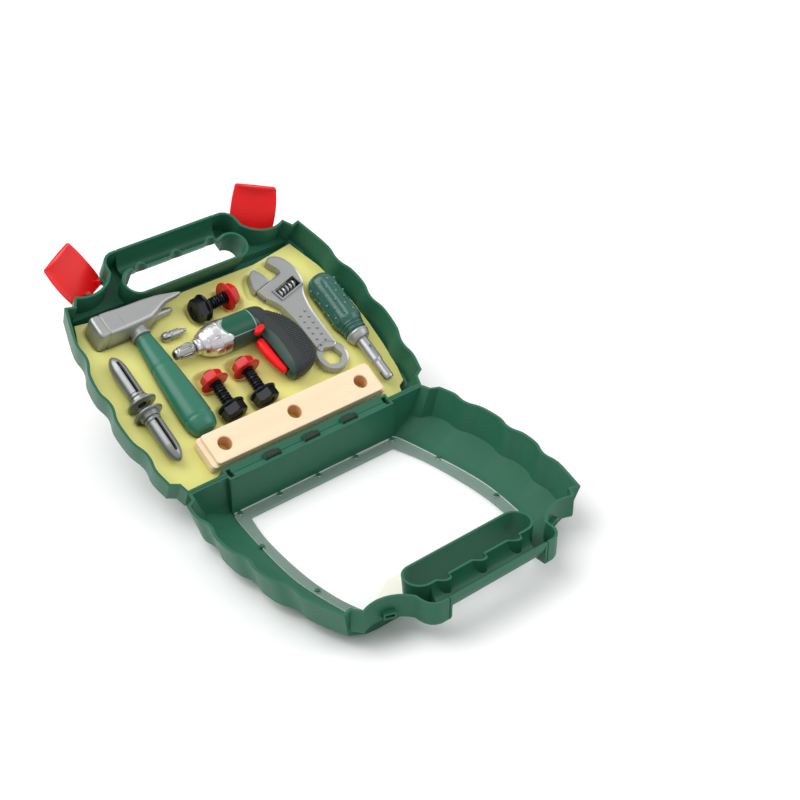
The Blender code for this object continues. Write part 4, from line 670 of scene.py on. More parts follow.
def inHinge(face):
    # painted shade: the snap hooks and bars inside the hinge line are painted dark for the shade they sit in
    x, y, z = face.center
    near = min(abs(x - at * hinge["pitch"]) for at in (-1, 0, 1)) < hinge["width"] / 2 + hinge["shadeSide"]
    return near and math.hypot(y, z) < hinge["shadeReach"] and face.area < hinge["shadeArea"]


def finishShell(shell, node, body, space):
    bevelEdges(shell, case["edge"], 40)
    # the hinge hooks and bars get the painted shade
    tinted(shell, ("caseGreen", "hingeSlotShade"), inHinge)
    return placePiece(shell, space, body, [node], 42)


def makeLid():
    crease, depth, wall = case["lidCrease"], case["lidDepth"], case["wall"]
    floor, tip = depth - case["frame"], crease + (depth - crease) * case["tipShare"] + case["bulge"]
    rings = lidRings()
    hollow = hollowLevels(rings[:-1], [-2, crease - 0.8, tip - wall], paneSeat(0.3), floor)
    lid = halfShell("lidShell", rings, [crease, tip, depth], hollow, case["lidShoulder"], case["lidGrip"],
                    True)
    window = smoothSteps(corners(windowShares), 5)
    cutAll(lid, prism("window", bothSides(window), -depth - 2, 2 - floor))
    joinAll(lid, hingeStrip())
    half, gap = hinge["width"] / 2, hinge["gap"]
    side = half + hinge["roomSide"]
    for middle in (-hinge["pitch"], 0, hinge["pitch"]):
        cutAll(lid, roundBar("room", hinge["room"], middle - side, middle + side))
        for start, end in ((-half - hinge["earEnd"], -half - gap), (half + gap, half + hinge["earEnd"])):
            joinAll(lid, strapBar("ear", middle + start, middle + end, hinge["earReach"]))
        joinAll(lid, roundBar("bar", hinge["bar"], middle - side, middle + side))
    for x, y in studPlaces():
        joinAll(lid, loft("stud", [levelled(circleAt(x, y, r, 16), z - floor) for r, z in stud["cap"]]))
    block, socket = strikerAt("block"), strikerAt("socket")
    joinAll(lid, block, flippedCopy(block))
    cutAll(lid, socket, flippedCopy(socket))
    cutGaps(lid, case["lidGaps"])
    return finishShell(lid, "lid_shell", "lid", lidSpace)


def makeTray():
    rings = trayRings()
    seat = [(x - case["wall"] / 2, max(y, case["wall"])) for x, y in rings[-1][0]]
    hollow = hollowLevels(rings[:-1], [-2, case["trayCrease"] - 0.8], seat, case["trayFloor"])
    tray = halfShell("trayShell", rings, [case["trayCrease"], case["trayDepth"]], hollow,
                     case["trayShoulder"], case["trayGrip"], False)
    joinAll(tray, hingeStrip())
    outer, half = hinge["outer"], hinge["width"] / 2
    side, notch = half + hinge["gap"], half + hinge["notchSide"]
    mouth = [(0, 0)] + [(2 * outer * math.cos(math.radians(a)), 2 * outer * math.sin(math.radians(a)))
                        for a in hinge["mouth"]]
    for middle in (-hinge["pitch"], 0, hinge["pitch"]):
        cutAll(tray, roundBar("notch", hinge["room"], middle - notch, middle + notch))
        joinAll(tray, strapBar("hook", middle - half, middle + half, outer + 1.5))
        cutAll(tray, roundBar("eye", hinge["eye"], middle - side, middle + side),
               alongX("mouth", mouth, middle - side, middle + side))
    for lug in trayLugs():
        joinAll(tray, flippedCopy(lug), lug)
    cutAll(tray, alongY("low", case["lowWall"], case["lowFrom"], case["lowTo"]))
    cutGaps(tray, case["trayGaps"])
    return finishShell(tray, "back_shell", "tray", traySpace)


def makePane():
    seat = paneSeat(0)
    side = [p for i, p in enumerate(seat) if i == 0 or p[1] != seat[i - 1][1]][:-1]
    side = [side[0]] + smoothSteps(side[1:], 5) + [(side[-1][0] - pane["cornerIn"], pane["top"])]
    obj = prism("windowPane", bothSides([tuple(p) for p in side]), pane["low"], pane["low"] + pane["thick"])
    for x, y in studPlaces():
        cutAll(obj, prism("hole", circleAt(x, y, stud["hole"], 12), -45, -30))
    bevelEdges(obj, pane["edge"])
    # the pane's bevels, sides and small faces get the painted edge highlight
    tinted(obj, ("pane", "paneEdgeHighlight"),
           lambda face: abs(face.normal.z) <= pane["flat"] or face.area <= pane["faceArea"])
    placePiece(obj, lidSpace, "lid", ["window_pane"])
    label = tinted(cadCopy("label_panel", "labelPanel"), ("labelYellow", "labelBack"),
                   lambda face: face.normal.z > 0.5)
    placePiece(label, Matrix.Identity(4), "lid", ["label_panel"], unit=1.0)


# Latches: x along the pad's chord, y outwards, z towards the lid, about the pivot

latch = {"start": (75, 258.5), "end": (117, 236), "drop": 7.2, "depth": 19, "crown": 1.7, "thick": 2.0,
         "front": 29.3, "back": 23.6, "inner": 19.2, "outer": 29.6, "corner": 10, "frontCorner": 2.5,
         "waist": 0.1, "rowStep": 3.7, "columns": 14, "rimShare": 0.86, "rimLift": 0.5, "underShare": 0.985,
         "lug": 12, "lugWidth": 2.6, "lugRadius": 3.2, "pin": 1.6, "play": 0.3, "tab": 7,
         "marks": (-13, -6, 9, 18), "openLeft": 60, "openRight": 42}


def latchFrame():
    a, b = Vector(latch["start"]), Vector(latch["end"])
    run = (b - a).normalized()
    place = (a + b) / 2 - Vector((-run.y, run.x)) * latch["drop"]
    return place, math.atan2(run.y, run.x)


def lugShape(start, end, drop):
    radius = latch["lugRadius"]
    side = math.copysign(1, drop)
    cap = [(-side * radius * math.sin(a), radius * math.cos(a)) for a in angles(0, 180, 12)]
    return alongX("lug", cap + [(drop, -radius), (drop, radius)], start, end)


def padDrop(along):
    # how far the pad's surface lies under the pivot's line
    place, turn = latchFrame()
    start = place + Vector((math.cos(turn), math.sin(turn))) * along - padCentre()
    reach = start.dot(Vector((math.sin(turn), -math.cos(turn))))
    inside = (case["padRadius"] + case["wall"] / 2) ** 2
    return -reach + math.sqrt(reach * reach - start.length_squared + inside)


def trayLugs():
    place, turn = latchFrame()
    space = Matrix.Translation((place.x, place.y, -latch["depth"])) @ Matrix.Rotation(turn, 4, "Z")
    lugs = []
    for middle in (-latch["lug"], latch["lug"]):
        start = middle - latch["lugWidth"] / 2
        lug = lugShape(start, start + latch["lugWidth"], -padDrop(middle))
        cutAll(lug, roundBar("bore", latch["pin"] + latch["play"], start - 1, start + 4))
        lug.data.transform(space)
        lugs.append(lug)
    return lugs


def latchHalf(height, full):
    middle, span = (latch["front"] - latch["back"]) / 2, (latch["front"] + latch["back"]) / 2
    width = full * (1 - latch["waist"] + latch["waist"] * (1 - ((height - middle) / span) ** 2))
    return (width - cornerPull(latch["corner"], height + latch["back"])
            - cornerPull(latch["frontCorner"], latch["front"] - height))


def latchHeights():
    back, corner, front = latch["back"], latch["corner"], latch["front"]
    heights = [corner * (1 - math.cos(a)) - back for a in angles(12, 90, 9)]
    heights += [corner - back + step * latch["rowStep"] for step in range(1, 9)]
    heights += [front - latch["frontCorner"] * (1 - math.sin(a)) for a in angles(0, 84, 5)]
    return sorted(height for height in heights if height <= front)


def makeLatch(name, side, opening):
    drop, thick = latch["drop"], latch["thick"]
    low, end = drop - latch["crown"], latch["depth"] + latch["front"]
    count, rim, rings = latch["columns"], latch["rimShare"], []
    for height in latchHeights():
        top = []
        for index in range(-count, count + 1):
            share = index / count
            half = latchHalf(height, latch["inner"] if share < 0 else latch["outer"])
            lift = latch["rimLift"] * max(0, (abs(share) - rim) / (1 - rim))
            top.append((half * share, drop - latch["crown"] * share ** 2 + lift, height + latch["depth"]))
        rings.append(top + [(x * latch["underShare"], y - thick, z) for x, y, z in reversed(top)])
    parts = [bevelEdges(loft("plate", rings), 0.5, 40)]
    front = latch["front"] - 3
    wide = [(latchHalf(front, latch["outer" if a < math.pi / 2 else "inner"]) * 0.95 * math.cos(a),
             low - thick / 3 - latch["tab"] * math.sin(a)) for a in angles(0.5, 179.5, 30)]
    parts.append(bevelEdges(prism("tab", wide, end - 2.8, end - 0.6), 0.6, 40))
    for x in latch["marks"]:
        cup = turned("cup", [(0.2, 2.3), (0.9, 1.9), (1.2, 1.2), (1.2, 0.3)], 20)
        parts.append(shift(cup, (x, drop - latch["crown"] * (x / 27) ** 2 - 0.3, end - 5.5), 90))
    play = latch["play"]
    inner, outer = (latch["lug"] + way * latch["lugWidth"] / 2 - play for way in (-1, 1))
    for sign in (-1, 1):
        start = min(sign * inner, sign * (inner - latch["lugWidth"]))
        parts.append(lugShape(start, start + latch["lugWidth"], low))
        parts.append(roundBar("pin", latch["pin"], *sorted((sign * (inner - play), sign * outer))))
    obj = paint(joinPieces(name, parts), "latchRed")
    place, turn = latchFrame()
    space = (traySpace @ Matrix.Translation(Vector((side * place.x, place.y, -latch["depth"])) * mm)
             @ Matrix.Rotation(side * turn, 4, "Z") @ Matrix.Rotation(-math.radians(opening), 4, "X"))
    if side < 0:
        space = space @ Matrix.Scale(-1, 4, (1, 0, 0))
    node = "latch_left" if side < 0 else "latch_right"
    return placePiece(obj, space, node, [node], 40)


# Geometry Nodes trees for what repeats

def newTree(name, inputs):
    tree = bpy.data.node_groups.new(name, "GeometryNodeTree")
    tree.interface.new_socket(name="Geometry", in_out="INPUT", socket_type="NodeSocketGeometry")
    for label, kind in inputs:
        tree.interface.new_socket(name=label, in_out="INPUT", socket_type="NodeSocket" + kind)
    tree.interface.new_socket(name="Geometry", in_out="OUTPUT", socket_type="NodeSocketGeometry")
    return tree, tree.nodes.new("NodeGroupInput"), tree.nodes.new("NodeGroupOutput")


def endTree(tree, source, start, end):
    realize = tree.nodes.new("GeometryNodeRealizeInstances")
    finish = tree.nodes.new("GeometryNodeSetMaterial")
    tree.links.new(source, realize.inputs["Geometry"])
    tree.links.new(realize.outputs["Geometry"], finish.inputs["Geometry"])
    tree.links.new(start.outputs["Finish"], finish.inputs["Material"])
    tree.links.new(finish.outputs["Geometry"], end.inputs["Geometry"])
    return tree


def threadTree():
    # one ridge that winds about z, swept along a spiral
    tree, start, end = newTree("threadRidge", [("Turns", "Float"), ("Length", "Float"), ("Radius", "Float"),
                                               ("Ridge", "Float"), ("Finish", "Material")])
    spiral = tree.nodes.new("GeometryNodeCurveSpiral")
    spiral.inputs["Resolution"].default_value = 28
    for source, target in (("Turns", "Rotations"), ("Radius", "Start Radius"), ("Radius", "End Radius"),
                           ("Length", "Height")):
        tree.links.new(start.outputs[source], spiral.inputs[target])
    profile = tree.nodes.new("GeometryNodeCurvePrimitiveCircle")
    profile.inputs["Resolution"].default_value = 6
    tree.links.new(start.outputs["Ridge"], profile.inputs["Radius"])
    sweep = tree.nodes.new("GeometryNodeCurveToMesh")
    sweep.inputs["Fill Caps"].default_value = True
    tree.links.new(spiral.outputs["Curve"], sweep.inputs["Curve"])
    tree.links.new(profile.outputs["Curve"], sweep.inputs["Profile Curve"])
    return endTree(tree, sweep.outputs["Mesh"], start, end)


def dotTree():
    # a small dome on each point handed in
    tree, start, end = newTree("dotRows", [("Size", "Float"), ("Finish", "Material")])
    dot = tree.nodes.new("GeometryNodeMeshIcoSphere")
    dot.inputs["Subdivisions"].default_value = 2
    tree.links.new(start.outputs["Size"], dot.inputs["Radius"])
    place = tree.nodes.new("GeometryNodeInstanceOnPoints")
    tree.links.new(start.outputs["Geometry"], place.inputs["Points"])
    tree.links.new(dot.outputs["Mesh"], place.inputs["Instance"])
    return endTree(tree, place.outputs["Instances"], start, end)


trees = {"thread": threadTree(), "dots": dotTree()}


def runTree(name, tree, values, points=((0, 0, 0),)):
    mesh = bpy.data.meshes.new(name)
    mesh.from_pydata([tuple(p) for p in points], [], [])
    obj = addObject(name, mesh)
    modifier = obj.modifiers.new("repeat", "NODES")
    modifier.node_group = trees[tree]
    for item in trees[tree].interface.items_tree:
        if item.in_out == "INPUT" and item.name in values:
            modifier[item.identifier] = values[item.name]
    return fixNormals(applyModifiers(obj))


def spiralRidge(turns, length, radius, ridge, paintName, start):
    # a ridge that winds about x
    obj = runTree("thread", "thread", {"Turns": turns, "Length": length, "Radius": radius, "Ridge": ridge,
                                       "Finish": paints[paintName]})
    return shift(obj, (start, 0, 0), 90, "Y")


def gripDots(size, paintName, points):
    return runTree("dots", "dots", {"Size": size, "Finish": paints[paintName]}, points)


# Tools: each is made in its own space, in millimetres

tools = []
pocketFloor = -30.5


def placeTool(obj, space, body, node, angle=35):
    tools.append(placePiece(obj, space, body, [node], angle))


plug = {"line": -122, "places": ((104.5, 1), (96, -1)), "flange": 15.2, "radius": 8.3, "length": 58,
        "hex": 5.4, "bore": 44, "slot": (11, 49, 1.5)}


# the faces inside a plug's bore, which are painted dark as painted shade
def inPlug(face):
    x, y, z = face.center
    return math.hypot(y, z) < 5.6 and 1 < x < plug["bore"] - 0.1


def makePlug(name, place, side):
    r, f = plug["radius"], plug["flange"]
    low, high, half = plug["slot"]
    profile = [(0, f - 1.6), (0.9, f), (2.2, f), (3, f - 1), (3.1, r + 2.0), (7.4, r + 1.6), (7.6, r - 0.7),
               (8.8, r - 0.7), (9.0, r + 0.4), (11.4, r + 0.3), (11.6, r - 0.6), (12.6, r - 0.6), (12.8, r),
               (30, r)]
    tail = smoothSteps([(40, r), (44, 8.0), (48, 7.3), (52, 6.0), (55, 4.3), (57.2, 2.2),
                        (plug["length"], 0.4)], 3)
    obj = turned(name, rounded(profile, 0.5, 2) + tail, 56)
    cutAll(obj, turned("bore", [(-2, plug["hex"]), (plug["bore"], plug["hex"])], 6),
           turned("dish", [(-2, 8.6), (0.8, 8.2)], 40),
           prism("slot", slotOutline(low + half, high - half, half, half), 0, 20))
    bevelEdges(obj, 0.35, 50)
    tinted(obj, ("plugSilver", "innerDarkAndBoreShade"), inPlug)
    placeTool(obj, spaceAt((plug["line"], place, pocketFloor + f + 0.3), 90 * side), name, name)


bit = {"place": (-61, 164, -20.6), "tip": ((-2, -0.75, -12), (7, 0.75, 12), (45, 135)),
       "flats": ((11, -4.2, -9), (18.6, 4.2, -4.3), (0, 60, 120))}


def makeBit():
    profile = [(0, 2.6), (1.2, 4.2), (4, 5), (7.2, 5), (7.6, 3.6), (9.5, 3.6), (10, 4.6), (19.4, 4.6),
               (20, 3), (24, 2.8), (24.6, 1.9), (28, 1.5)]
    obj = turned("bitTip", profile, 40, 0.6)
    for low, high, turns in (bit["tip"], bit["flats"]):
        for turn in turns:
            cutAll(obj, shift(box("cut", low, high), (0, 0, 0), turn, "X"))
    bevelEdges(obj, 0.2, 40)
    paint(obj, "shaftSilver")
    placeTool(obj, spaceAt(bit["place"]), "bit", "bit")


bolt = {"hex": 12.9, "head": 10, "flange": 14.3, "rim": 2.4, "length": 53, "core": 4.5, "turns": 12.0,
        "thread": 38.4, "threadStart": 13.2, "threadRadius": 5.15, "ridge": 1.1, "nut": 39, "nutHex": 9.6,
        "nutReach": 11.6, "nutBore": 6.6, "collar": 8.8, "brim": 14.9,
        "places": ((-16.5, 175.5, 4.6), (-43.5, 57, 90), (-5.5, 57, 90))}


def hexBar(name, radius, start, end, capStart, capEnd):
    obj = turned(name, [(start, radius), (end, radius)], 6)
    low, high = radius * (1 - 0.1 * capStart), radius * (1 - 0.1 * capEnd)
    cone = turned("cone", [(start - 0.01, low), (start + 1.1, radius + 0.1), (end - 1.1, radius + 0.1),
                           (end + 0.01, high)])
    combine(obj, "INTERSECT", [cone])
    return bevelEdges(obj, 0.45, 30)


def makeBolt(index):
    x, y, turn = bolt["places"][index]
    number, f, end, core, brim = str(index + 1), bolt["flange"], bolt["length"], bolt["core"], bolt["brim"]
    space = spaceAt((x, y, pocketFloor + f + 0.3), turn)
    head = hexBar("hexHead", bolt["hex"], 0, bolt["head"], 1, 0)
    parts = [cutAll(head, turned("dish", [(-2, 7.2), (0.9, 6.6)], 40)),
             turned("flange", [(9.9, f - 0.8), (10.7, f), (11.8, f), (12.4, f - 1)], 56, 0.3),
             turned("core", [(9, core), (end - 2.2, core), (end - 1.4, 5.9), (end, 5)], 32)]
    thread = spiralRidge(bolt["turns"], bolt["thread"], bolt["threadRadius"], bolt["ridge"], "boltBlack",
                         bolt["threadStart"])
    obj = joinPieces("bolt" + number, [paint(part, "boltBlack") for part in parts] + [thread])
    placeTool(obj, space, "bolt_" + number, "bolt_" + number)
    start = bolt["nut"] + bolt["rim"]
    top = start + bolt["nutHex"]
    nut = hexBar("nut" + number, bolt["nutReach"], start - 0.1, top - 1.3, 0, 1)
    joinAll(nut, turned("rim", [(start - bolt["rim"], brim - 1), (start - 1.7, brim), (start - 0.6, brim),
                                (start, brim - 0.8)], 56, 0.3),
            turned("collar", [(start + 6, bolt["collar"]), (top - 0.8, bolt["collar"]),
                              (top, bolt["collar"] - 0.8)], 48, 0.5))
    cutAll(nut, turned("bore", [(start - 5, bolt["nutBore"]), (start + 20, bolt["nutBore"])], 40))
    placeTool(paint(nut, "nutRed"), space, "nut_" + number, "nut_" + number)


hammer = {"line": 191.1, "lift": 1.6, "depth": 17, "handleX": -80, "top": 170.7, "end": 55, "half": 15.5,
          "flat": 0.82, "square": 2.15, "grooves": ((0.325, 0.9), (0.865, 0.9), (0.03, 0.5)),
          "bore": 5.8, "spigot": 5.3, "mouldLines": (-96.5, -72), "dot": 0.75,
          "dotTurns": (38, 64, 90, 116, 142),
          "dotRows": ((0.27, 11.2), (0.365, 12.3), (0.43, 12.7), (0.495, 13.1), (0.9, 15.3))}
# Place along the head, half width, half height, side shift, squareness
headStations = [(-124.2, 10.4, 11.6, 0.6, 5), (-123.7, 11.6, 13.0, 0.6, 6), (-122.4, 12.6, 14.0, 0.6, 7),
                (-121.4, 13.0, 14.4, 0.6, 7), (-115.4, 13.0, 14.4, 0.6, 7), (-114.7, 12.4, 13.8, 0.6, 7),
                (-113.3, 12.4, 13.8, 0.6, 7), (-112.6, 13.2, 14.6, 0.6, 7), (-104, 13.1, 14.5, 0.6, 7),
                (-92, 12.8, 14.3, 0.4, 6), (-78, 12.4, 14.1, 0.6, 6), (-66, 11.9, 14.0, 1.2, 6),
                (-58, 10.4, 13.9, 2.5, 5), (-51, 8.0, 13.6, 4.3, 5), (-45, 6.2, 13.2, 5.3, 4.5),
                (-39, 4.9, 12.7, 5.6, 4), (-33.5, 4.0, 12.1, 5.4, 4), (-29.5, 3.3, 11.8, 5.3, 4),
                (-25.4, 2.3, 11.6, 5.2, 3), (-23.4, 1.0, 11.0, 5.1, 3)]
# Place, centre, height, half width and half height along the claw's lower prong
lowerProng = [(-68, 189, -4, 7, 9), (-60, 189.2, -4, 5.6, 7.4), (-52, 189.4, -3.2, 4.4, 5.8),
              (-44, 189.3, -2.8, 3.7, 4.9), (-38, 189, -2.6, 3.1, 4.2), (-35.4, 188.8, -2.6, 2.2, 3.2),
              (-34.4, 188.8, -2.6, 0.8, 1.2)]
# Place and height of the room between the prongs
clawRoom = [(-60, 1.3), (-57.5, -17.7), (-20, -17.7), (-20, 9.9), (-32, 9.5), (-45, 8.5), (-54, 5.9),
            (-58, 3.3)]
# Share of the length and of the half width down the handle
handleStations = [(0, 0.58), (0.10, 0.65), (0.22, 0.73), (0.34, 0.805), (0.48, 0.875), (0.62, 0.94),
                  (0.76, 0.985), (0.86, 1.0), (0.92, 0.965), (0.96, 0.875), (0.985, 0.76), (1.0, 0.5)]


def makeHammer():
    x, top = hammer["handleX"], hammer["top"]
    head = loft("hammerHead", [[(place, hammer["line"] + side + a, b + hammer["lift"])
                                for a, b in ellipse(56, halfY, halfZ, square)]
                               for place, halfY, halfZ, side, square in headStations])
    neck = turned("neck", [(0, 8.2), (0.8, 10.2), (2.6, 10.4), (3.2, 9.0), (8, 9.4), (12, 11.8), (20, 12)],
                  48, 0.5)
    joinAll(head, shift(neck, (x, top + 0.4, 0), 90))
    cutAll(head, alongY("clawRoom", clawRoom, 160, 220))
    joinAll(head, loft("prong", [[(place, y + a * k, z + b * h) for a, b in ellipse(32, 1, 1, 2.6)]
                                 for place, y, z, k, h in smoothSteps(lowerProng, 4)]))
    bore = turned("bore", [(-3, hammer["bore"]), (16.3, hammer["bore"])], 24)
    cutAll(head, shift(bore, (x, top, 0), 90))
    for place in hammer["mouldLines"]:
        cutAll(head, box("mouldLine", (place - 0.25, 175, 15.6), (place + 0.25, 208, 20)))
    bevelEdges(head, 0.5, 42)
    paint(head, "toolGrey")
    space = spaceAt((0, 0, -hammer["depth"]))
    placeTool(head, space, "hammer", "hammer_head", 40)

    length = top - hammer["end"]
    rings = []
    for along, size in smoothSteps(handleStations, 7):
        groove = sum(depth * math.exp(-((along - at) * length / 0.9) ** 2) for at, depth in hammer["grooves"])
        reach = size * hammer["half"] - groove
        rings.append([(length * along, a, b * hammer["flat"])
                      for a, b in ellipse(64, reach, reach, hammer["square"])])
    spigot = turned("spigot", [(-16, hammer["spigot"]), (8, hammer["spigot"])], 24)
    handle = joinAll(loft("hammerHandle", rings), spigot)
    paint(handle, "handleTeal")
    points = []
    for along, half in hammer["dotRows"]:
        for turn in hammer["dotTurns"]:
            angle, reach = math.radians(turn), half * 0.985
            points.append((length * along, reach * math.cos(angle), reach * hammer["flat"] * math.sin(angle)))
    obj = joinPieces("hammerGrip", [handle, gripDots(hammer["dot"], "handleTeal", points)])
    placeTool(shift(obj, (x, top, 0), -90), space, "hammer", "hammer_handle", 40)


wrench = {"place": (90.8, 163.3), "turn": 15.6, "half": 5, "depth": 20.7, "ring": (87, 75), "ringRadius": 17,
          "hex": 11.5, "rimCut": 13.2, "window": (30.4, 12), "frame": 1.6, "edge": 1.3, "worm": 4.7,
          "rail": 2.2, "pin": 1.7, "core": 3.3, "wormTurns": 5.0, "wormRidge": (3.5, 1.15), "inlay": 0.5,
          "dots": (87.6, 92, 7.6), "dotSpread": (4.1, 1.9), "dot": 1.25}
wrenchRight = [(99.5, 82), (99, 131), (102.7, 151), (112, 164)]
wrenchLeft = [(62, 160), (71, 149), (75, 125), (76.5, 82)]
fixedJaw = [(26.6, 10.9), (24.6, 27), (19.5, 34), (13.5, 37.8), (6, 35.5), (11, 16.6)]
fixedInlay = [(25, 12), *fixedJaw[1:5], (12, 19)]
movingJaw = [(-9.2, 16.9), (-8.6, 26), (-11.8, 37.3), (-17.5, 37), (-22.5, 33.6), (-30.4, 21), (-30.2, 16.9)]
movingInlay = [(-11.5, 19.5), (-11, 26), (-13.2, 34.6), (-17, 34.4), (-20.6, 31.6), (-27, 21.4),
               (-26.8, 19.5)]


def onWrench(point):
    angle = math.radians(-wrench["turn"])
    x, y = point[0] - wrench["place"][0], point[1] - wrench["place"][1]
    return (x * math.cos(angle) - y * math.sin(angle), x * math.sin(angle) + y * math.cos(angle))


def softPrism(name, outline):
    # a plate with rounded edges, as thick as the wrench
    half, edge = wrench["half"], wrench["edge"]
    rings = []
    for a in angles(0, 90, 3):
        inset = edge * (1 - math.cos(math.pi / 2 - a))
        rings.append(levelled(offsetLoop(outline, -inset), edge * (1 - math.sin(a)) - half))
    rings += [[(x, y, -z) for x, y, z in ring] for ring in reversed(rings)]
    return loft(name, rings)


def makeWrench():
    half, rail, low, pin = wrench["half"], wrench["rail"], wrench["worm"] + 0.6, wrench["pin"]
    w, h = (size / 2 for size in wrench["window"])
    cx, cy = onWrench(wrench["ring"])
    space = spaceAt((*wrench["place"], -wrench["depth"]), wrench["turn"])
    outline = [onWrench(p) for p in wrenchLeft + wrenchRight] + fixedJaw + [(-29.5, 16.6)]
    body = softPrism("wrenchBody", rounded(outline, 7, 4))
    joinAll(body, softPrism("ring", circleAt(cx, cy, wrench["ringRadius"], 56)))
    cutAll(body, prism("hexHole", circleAt(cx, cy, wrench["hex"], 6), -9, 9),
           prism("rimCut", circleAt(cx, cy, wrench["rimCut"], 40), half - 0.7, 9),
           box("window", (-w, -h, -9), (w, h, 9)),
           box("groove", (-60, h - 2, -rail - 0.3), (17, 18.6, rail + 0.3)),
           prism("jawInlay", offsetLoop(fixedInlay, -2.6), half - wrench["inlay"], 9),
           roundBar("pinBore", pin, -w - 3.5, w + 3.5))
    edge = wrench["frame"]
    frameRim = box("frameRim", (-w - edge, -h - edge, half - 0.2), (w + edge, h + edge, half + 0.45))
    joinAll(body, cutAll(frameRim, box("inside", (-w, -h, 0), (w, h, 9))))
    bevelEdges(body, 0.3, 50)

    # painted shade: the inner walls of the worm's window are painted dark
    def inWindow(face):
        x, y, z = face.center
        return abs(x) < w + 0.1 and abs(y) < h + 0.1 and abs(face.normal.z) < 0.3 and z < half - 0.4

    tinted(body, ("toolGrey", "wormDarkAndWindowShade"), inWindow)
    line, start, pitch = wrench["dots"]
    aside, ahead = wrench["dotSpread"]
    points = [(*onWrench((line + side * aside, start + row * pitch + side * ahead)), half - 0.45)
              for row in range(6) for side in (-1, 1)]
    obj = joinPieces("wrenchBody", [body, gripDots(wrench["dot"], "toolGrey", points)])
    placeTool(obj, space, "wrench", "wrench_body", 38)

    jaw = softPrism("wrenchJaw", rounded(movingJaw + movingJaw[:1], 3.5, 4)[:-1])
    cutAll(jaw, prism("jawInlay", offsetLoop(movingInlay, -0.6), half - wrench["inlay"], 9))
    joinAll(jaw, box("rail", (-27.8, low, -rail), (6, low + 5, rail)),
            box("web", (-27.8, low + 3, -rail), (-11.6, 20.2, rail)))
    bevelEdges(jaw, 0.3, 50)
    placeTool(paint(jaw, "toolGrey"), space, "wrench_jaw", "wrench_jaw", 38)

    reach = w - 1
    worm = turned("core", [(-reach, wrench["core"]), (reach, wrench["core"])], 32)
    cutAll(worm, roundBar("bore", pin, -reach - 2, reach + 2))
    ridge = spiralRidge(wrench["wormTurns"], 2 * reach - 3.2, *wrench["wormRidge"], "wormSilver",
                        1.6 - reach)
    obj = joinPieces("wormWheel", [paint(worm, "wormDarkAndWindowShade"), ridge])
    placeTool(obj, space, "wrench_worm", "wrench_worm", 40)


screwdriver = {"line": 125.6, "top": 161, "bottom": 86, "radius": 15.4, "height": -14.8, "shaft": 6.4,
               "tip": 26, "bore": 6.7, "ribs": 8, "ribDepth": 0.9, "dot": 1.3, "dotRows": 6, "dotStart": 13,
               "dotPitch": 8.2, "window": (98, 110, 1.7, 3), "ribStart": (0.10, 0.12), "ribEnd": (0.80, 0.06)}
# Share of the length and of the radius down the grip
gripLine = [(0, 0.2), (0.006, 0.42), (0.03, 0.66), (0.075, 0.85), (0.14, 0.96), (0.24, 1.0), (0.4, 0.985),
            (0.58, 0.98), (0.72, 1.0), (0.79, 1.0), (0.83, 0.93), (0.87, 0.86)]
# Place and radius in millimetres
collarLine = [(62.5, 12), (63.5, 13.6), (65.4, 13.8), (66, 12.6), (67, 12.6), (67.6, 13.2), (69.2, 13),
              (69.8, 11.9), (70.8, 11.9), (71.4, 12.4), (73.4, 12.2), (74, 11.6)]
ferruleLine = [(74.3, 10.6), (75.2, 11.8), (76.4, 12.4), (77.8, 12.4), (78.3, 11.8), (79.2, 11.6),
               (81.2, 11.2), (83.4, 10.2), (84.6, 9.0), (85, 7.4)]


def makeScrewdriver():
    wide, ribs, r = screwdriver["radius"], screwdriver["ribs"], screwdriver["shaft"]
    length = screwdriver["top"] - screwdriver["bottom"]
    space = spaceAt((screwdriver["line"], screwdriver["top"], screwdriver["height"]), -90)
    (start, rise), (stop, fall) = screwdriver["ribStart"], screwdriver["ribEnd"]
    rings = []
    for along, size in smoothSteps(gripLine, 6):
        fade = max(0.0, min(1.0, (along - start) / rise)) * max(0.0, min(1.0, (stop - along) / fall))
        ring = []
        for a, b in ellipse(96):
            wave = math.cos(ribs * math.atan2(b, a))
            radius = wide * size - fade * screwdriver["ribDepth"] * (0.5 - 0.5 * wave) ** 2
            ring.append((length * along, a * radius, b * radius))
        rings.append(ring)
    handle = joinAll(loft("handle", rings), turned("collar", collarLine, 56, 0.35))
    cutAll(handle, roundBar("bore", screwdriver["bore"], 48, 80))
    paint(handle, "gripGreen")
    points = []
    for row in range(ribs):
        for step in range(screwdriver["dotRows"]):
            turn = math.radians(row * 45 + (22.5 if step % 2 else 0))
            radius = wide * (0.955 if step % 2 else 0.985)
            points.append((screwdriver["dotStart"] + step * screwdriver["dotPitch"],
                           radius * math.cos(turn), radius * math.sin(turn)))
    # the dots are painted lighter than the grip as a painted highlight
    obj = joinPieces("screwdriverGrip", [handle, gripDots(screwdriver["dot"], "gripDotHighlight", points)])
    placeTool(obj, space, "screwdriver", "screwdriver_handle", 40)

    ferrule = turned("ferruleRing", ferruleLine, 56, 0.4)
    cutAll(ferrule, roundBar("bore", screwdriver["bore"], 70, 90))
    placeTool(paint(ferrule, "toolGrey"), space, "screwdriver", "screwdriver_ferrule", 40)

    end = screwdriver["top"] - screwdriver["tip"]
    shaft = turned("shaftRod", [(48.3, r), (112, r), (114, r - 0.9), (end - 2.2, 5.4), (end, 4.9)], 48, 0.8)
    cutAll(shaft, box("slot", (end - 10, -12, -1.2), (end + 2, 12, 1.2)),
           prism("window", slotOutline(*screwdriver["window"]), 4.4, 12))
    bevelEdges(shaft, 0.35, 45)
    placeTool(paint(shaft, "shaftSilver"), space, "screwdriver", "screwdriver_shaft", 40)


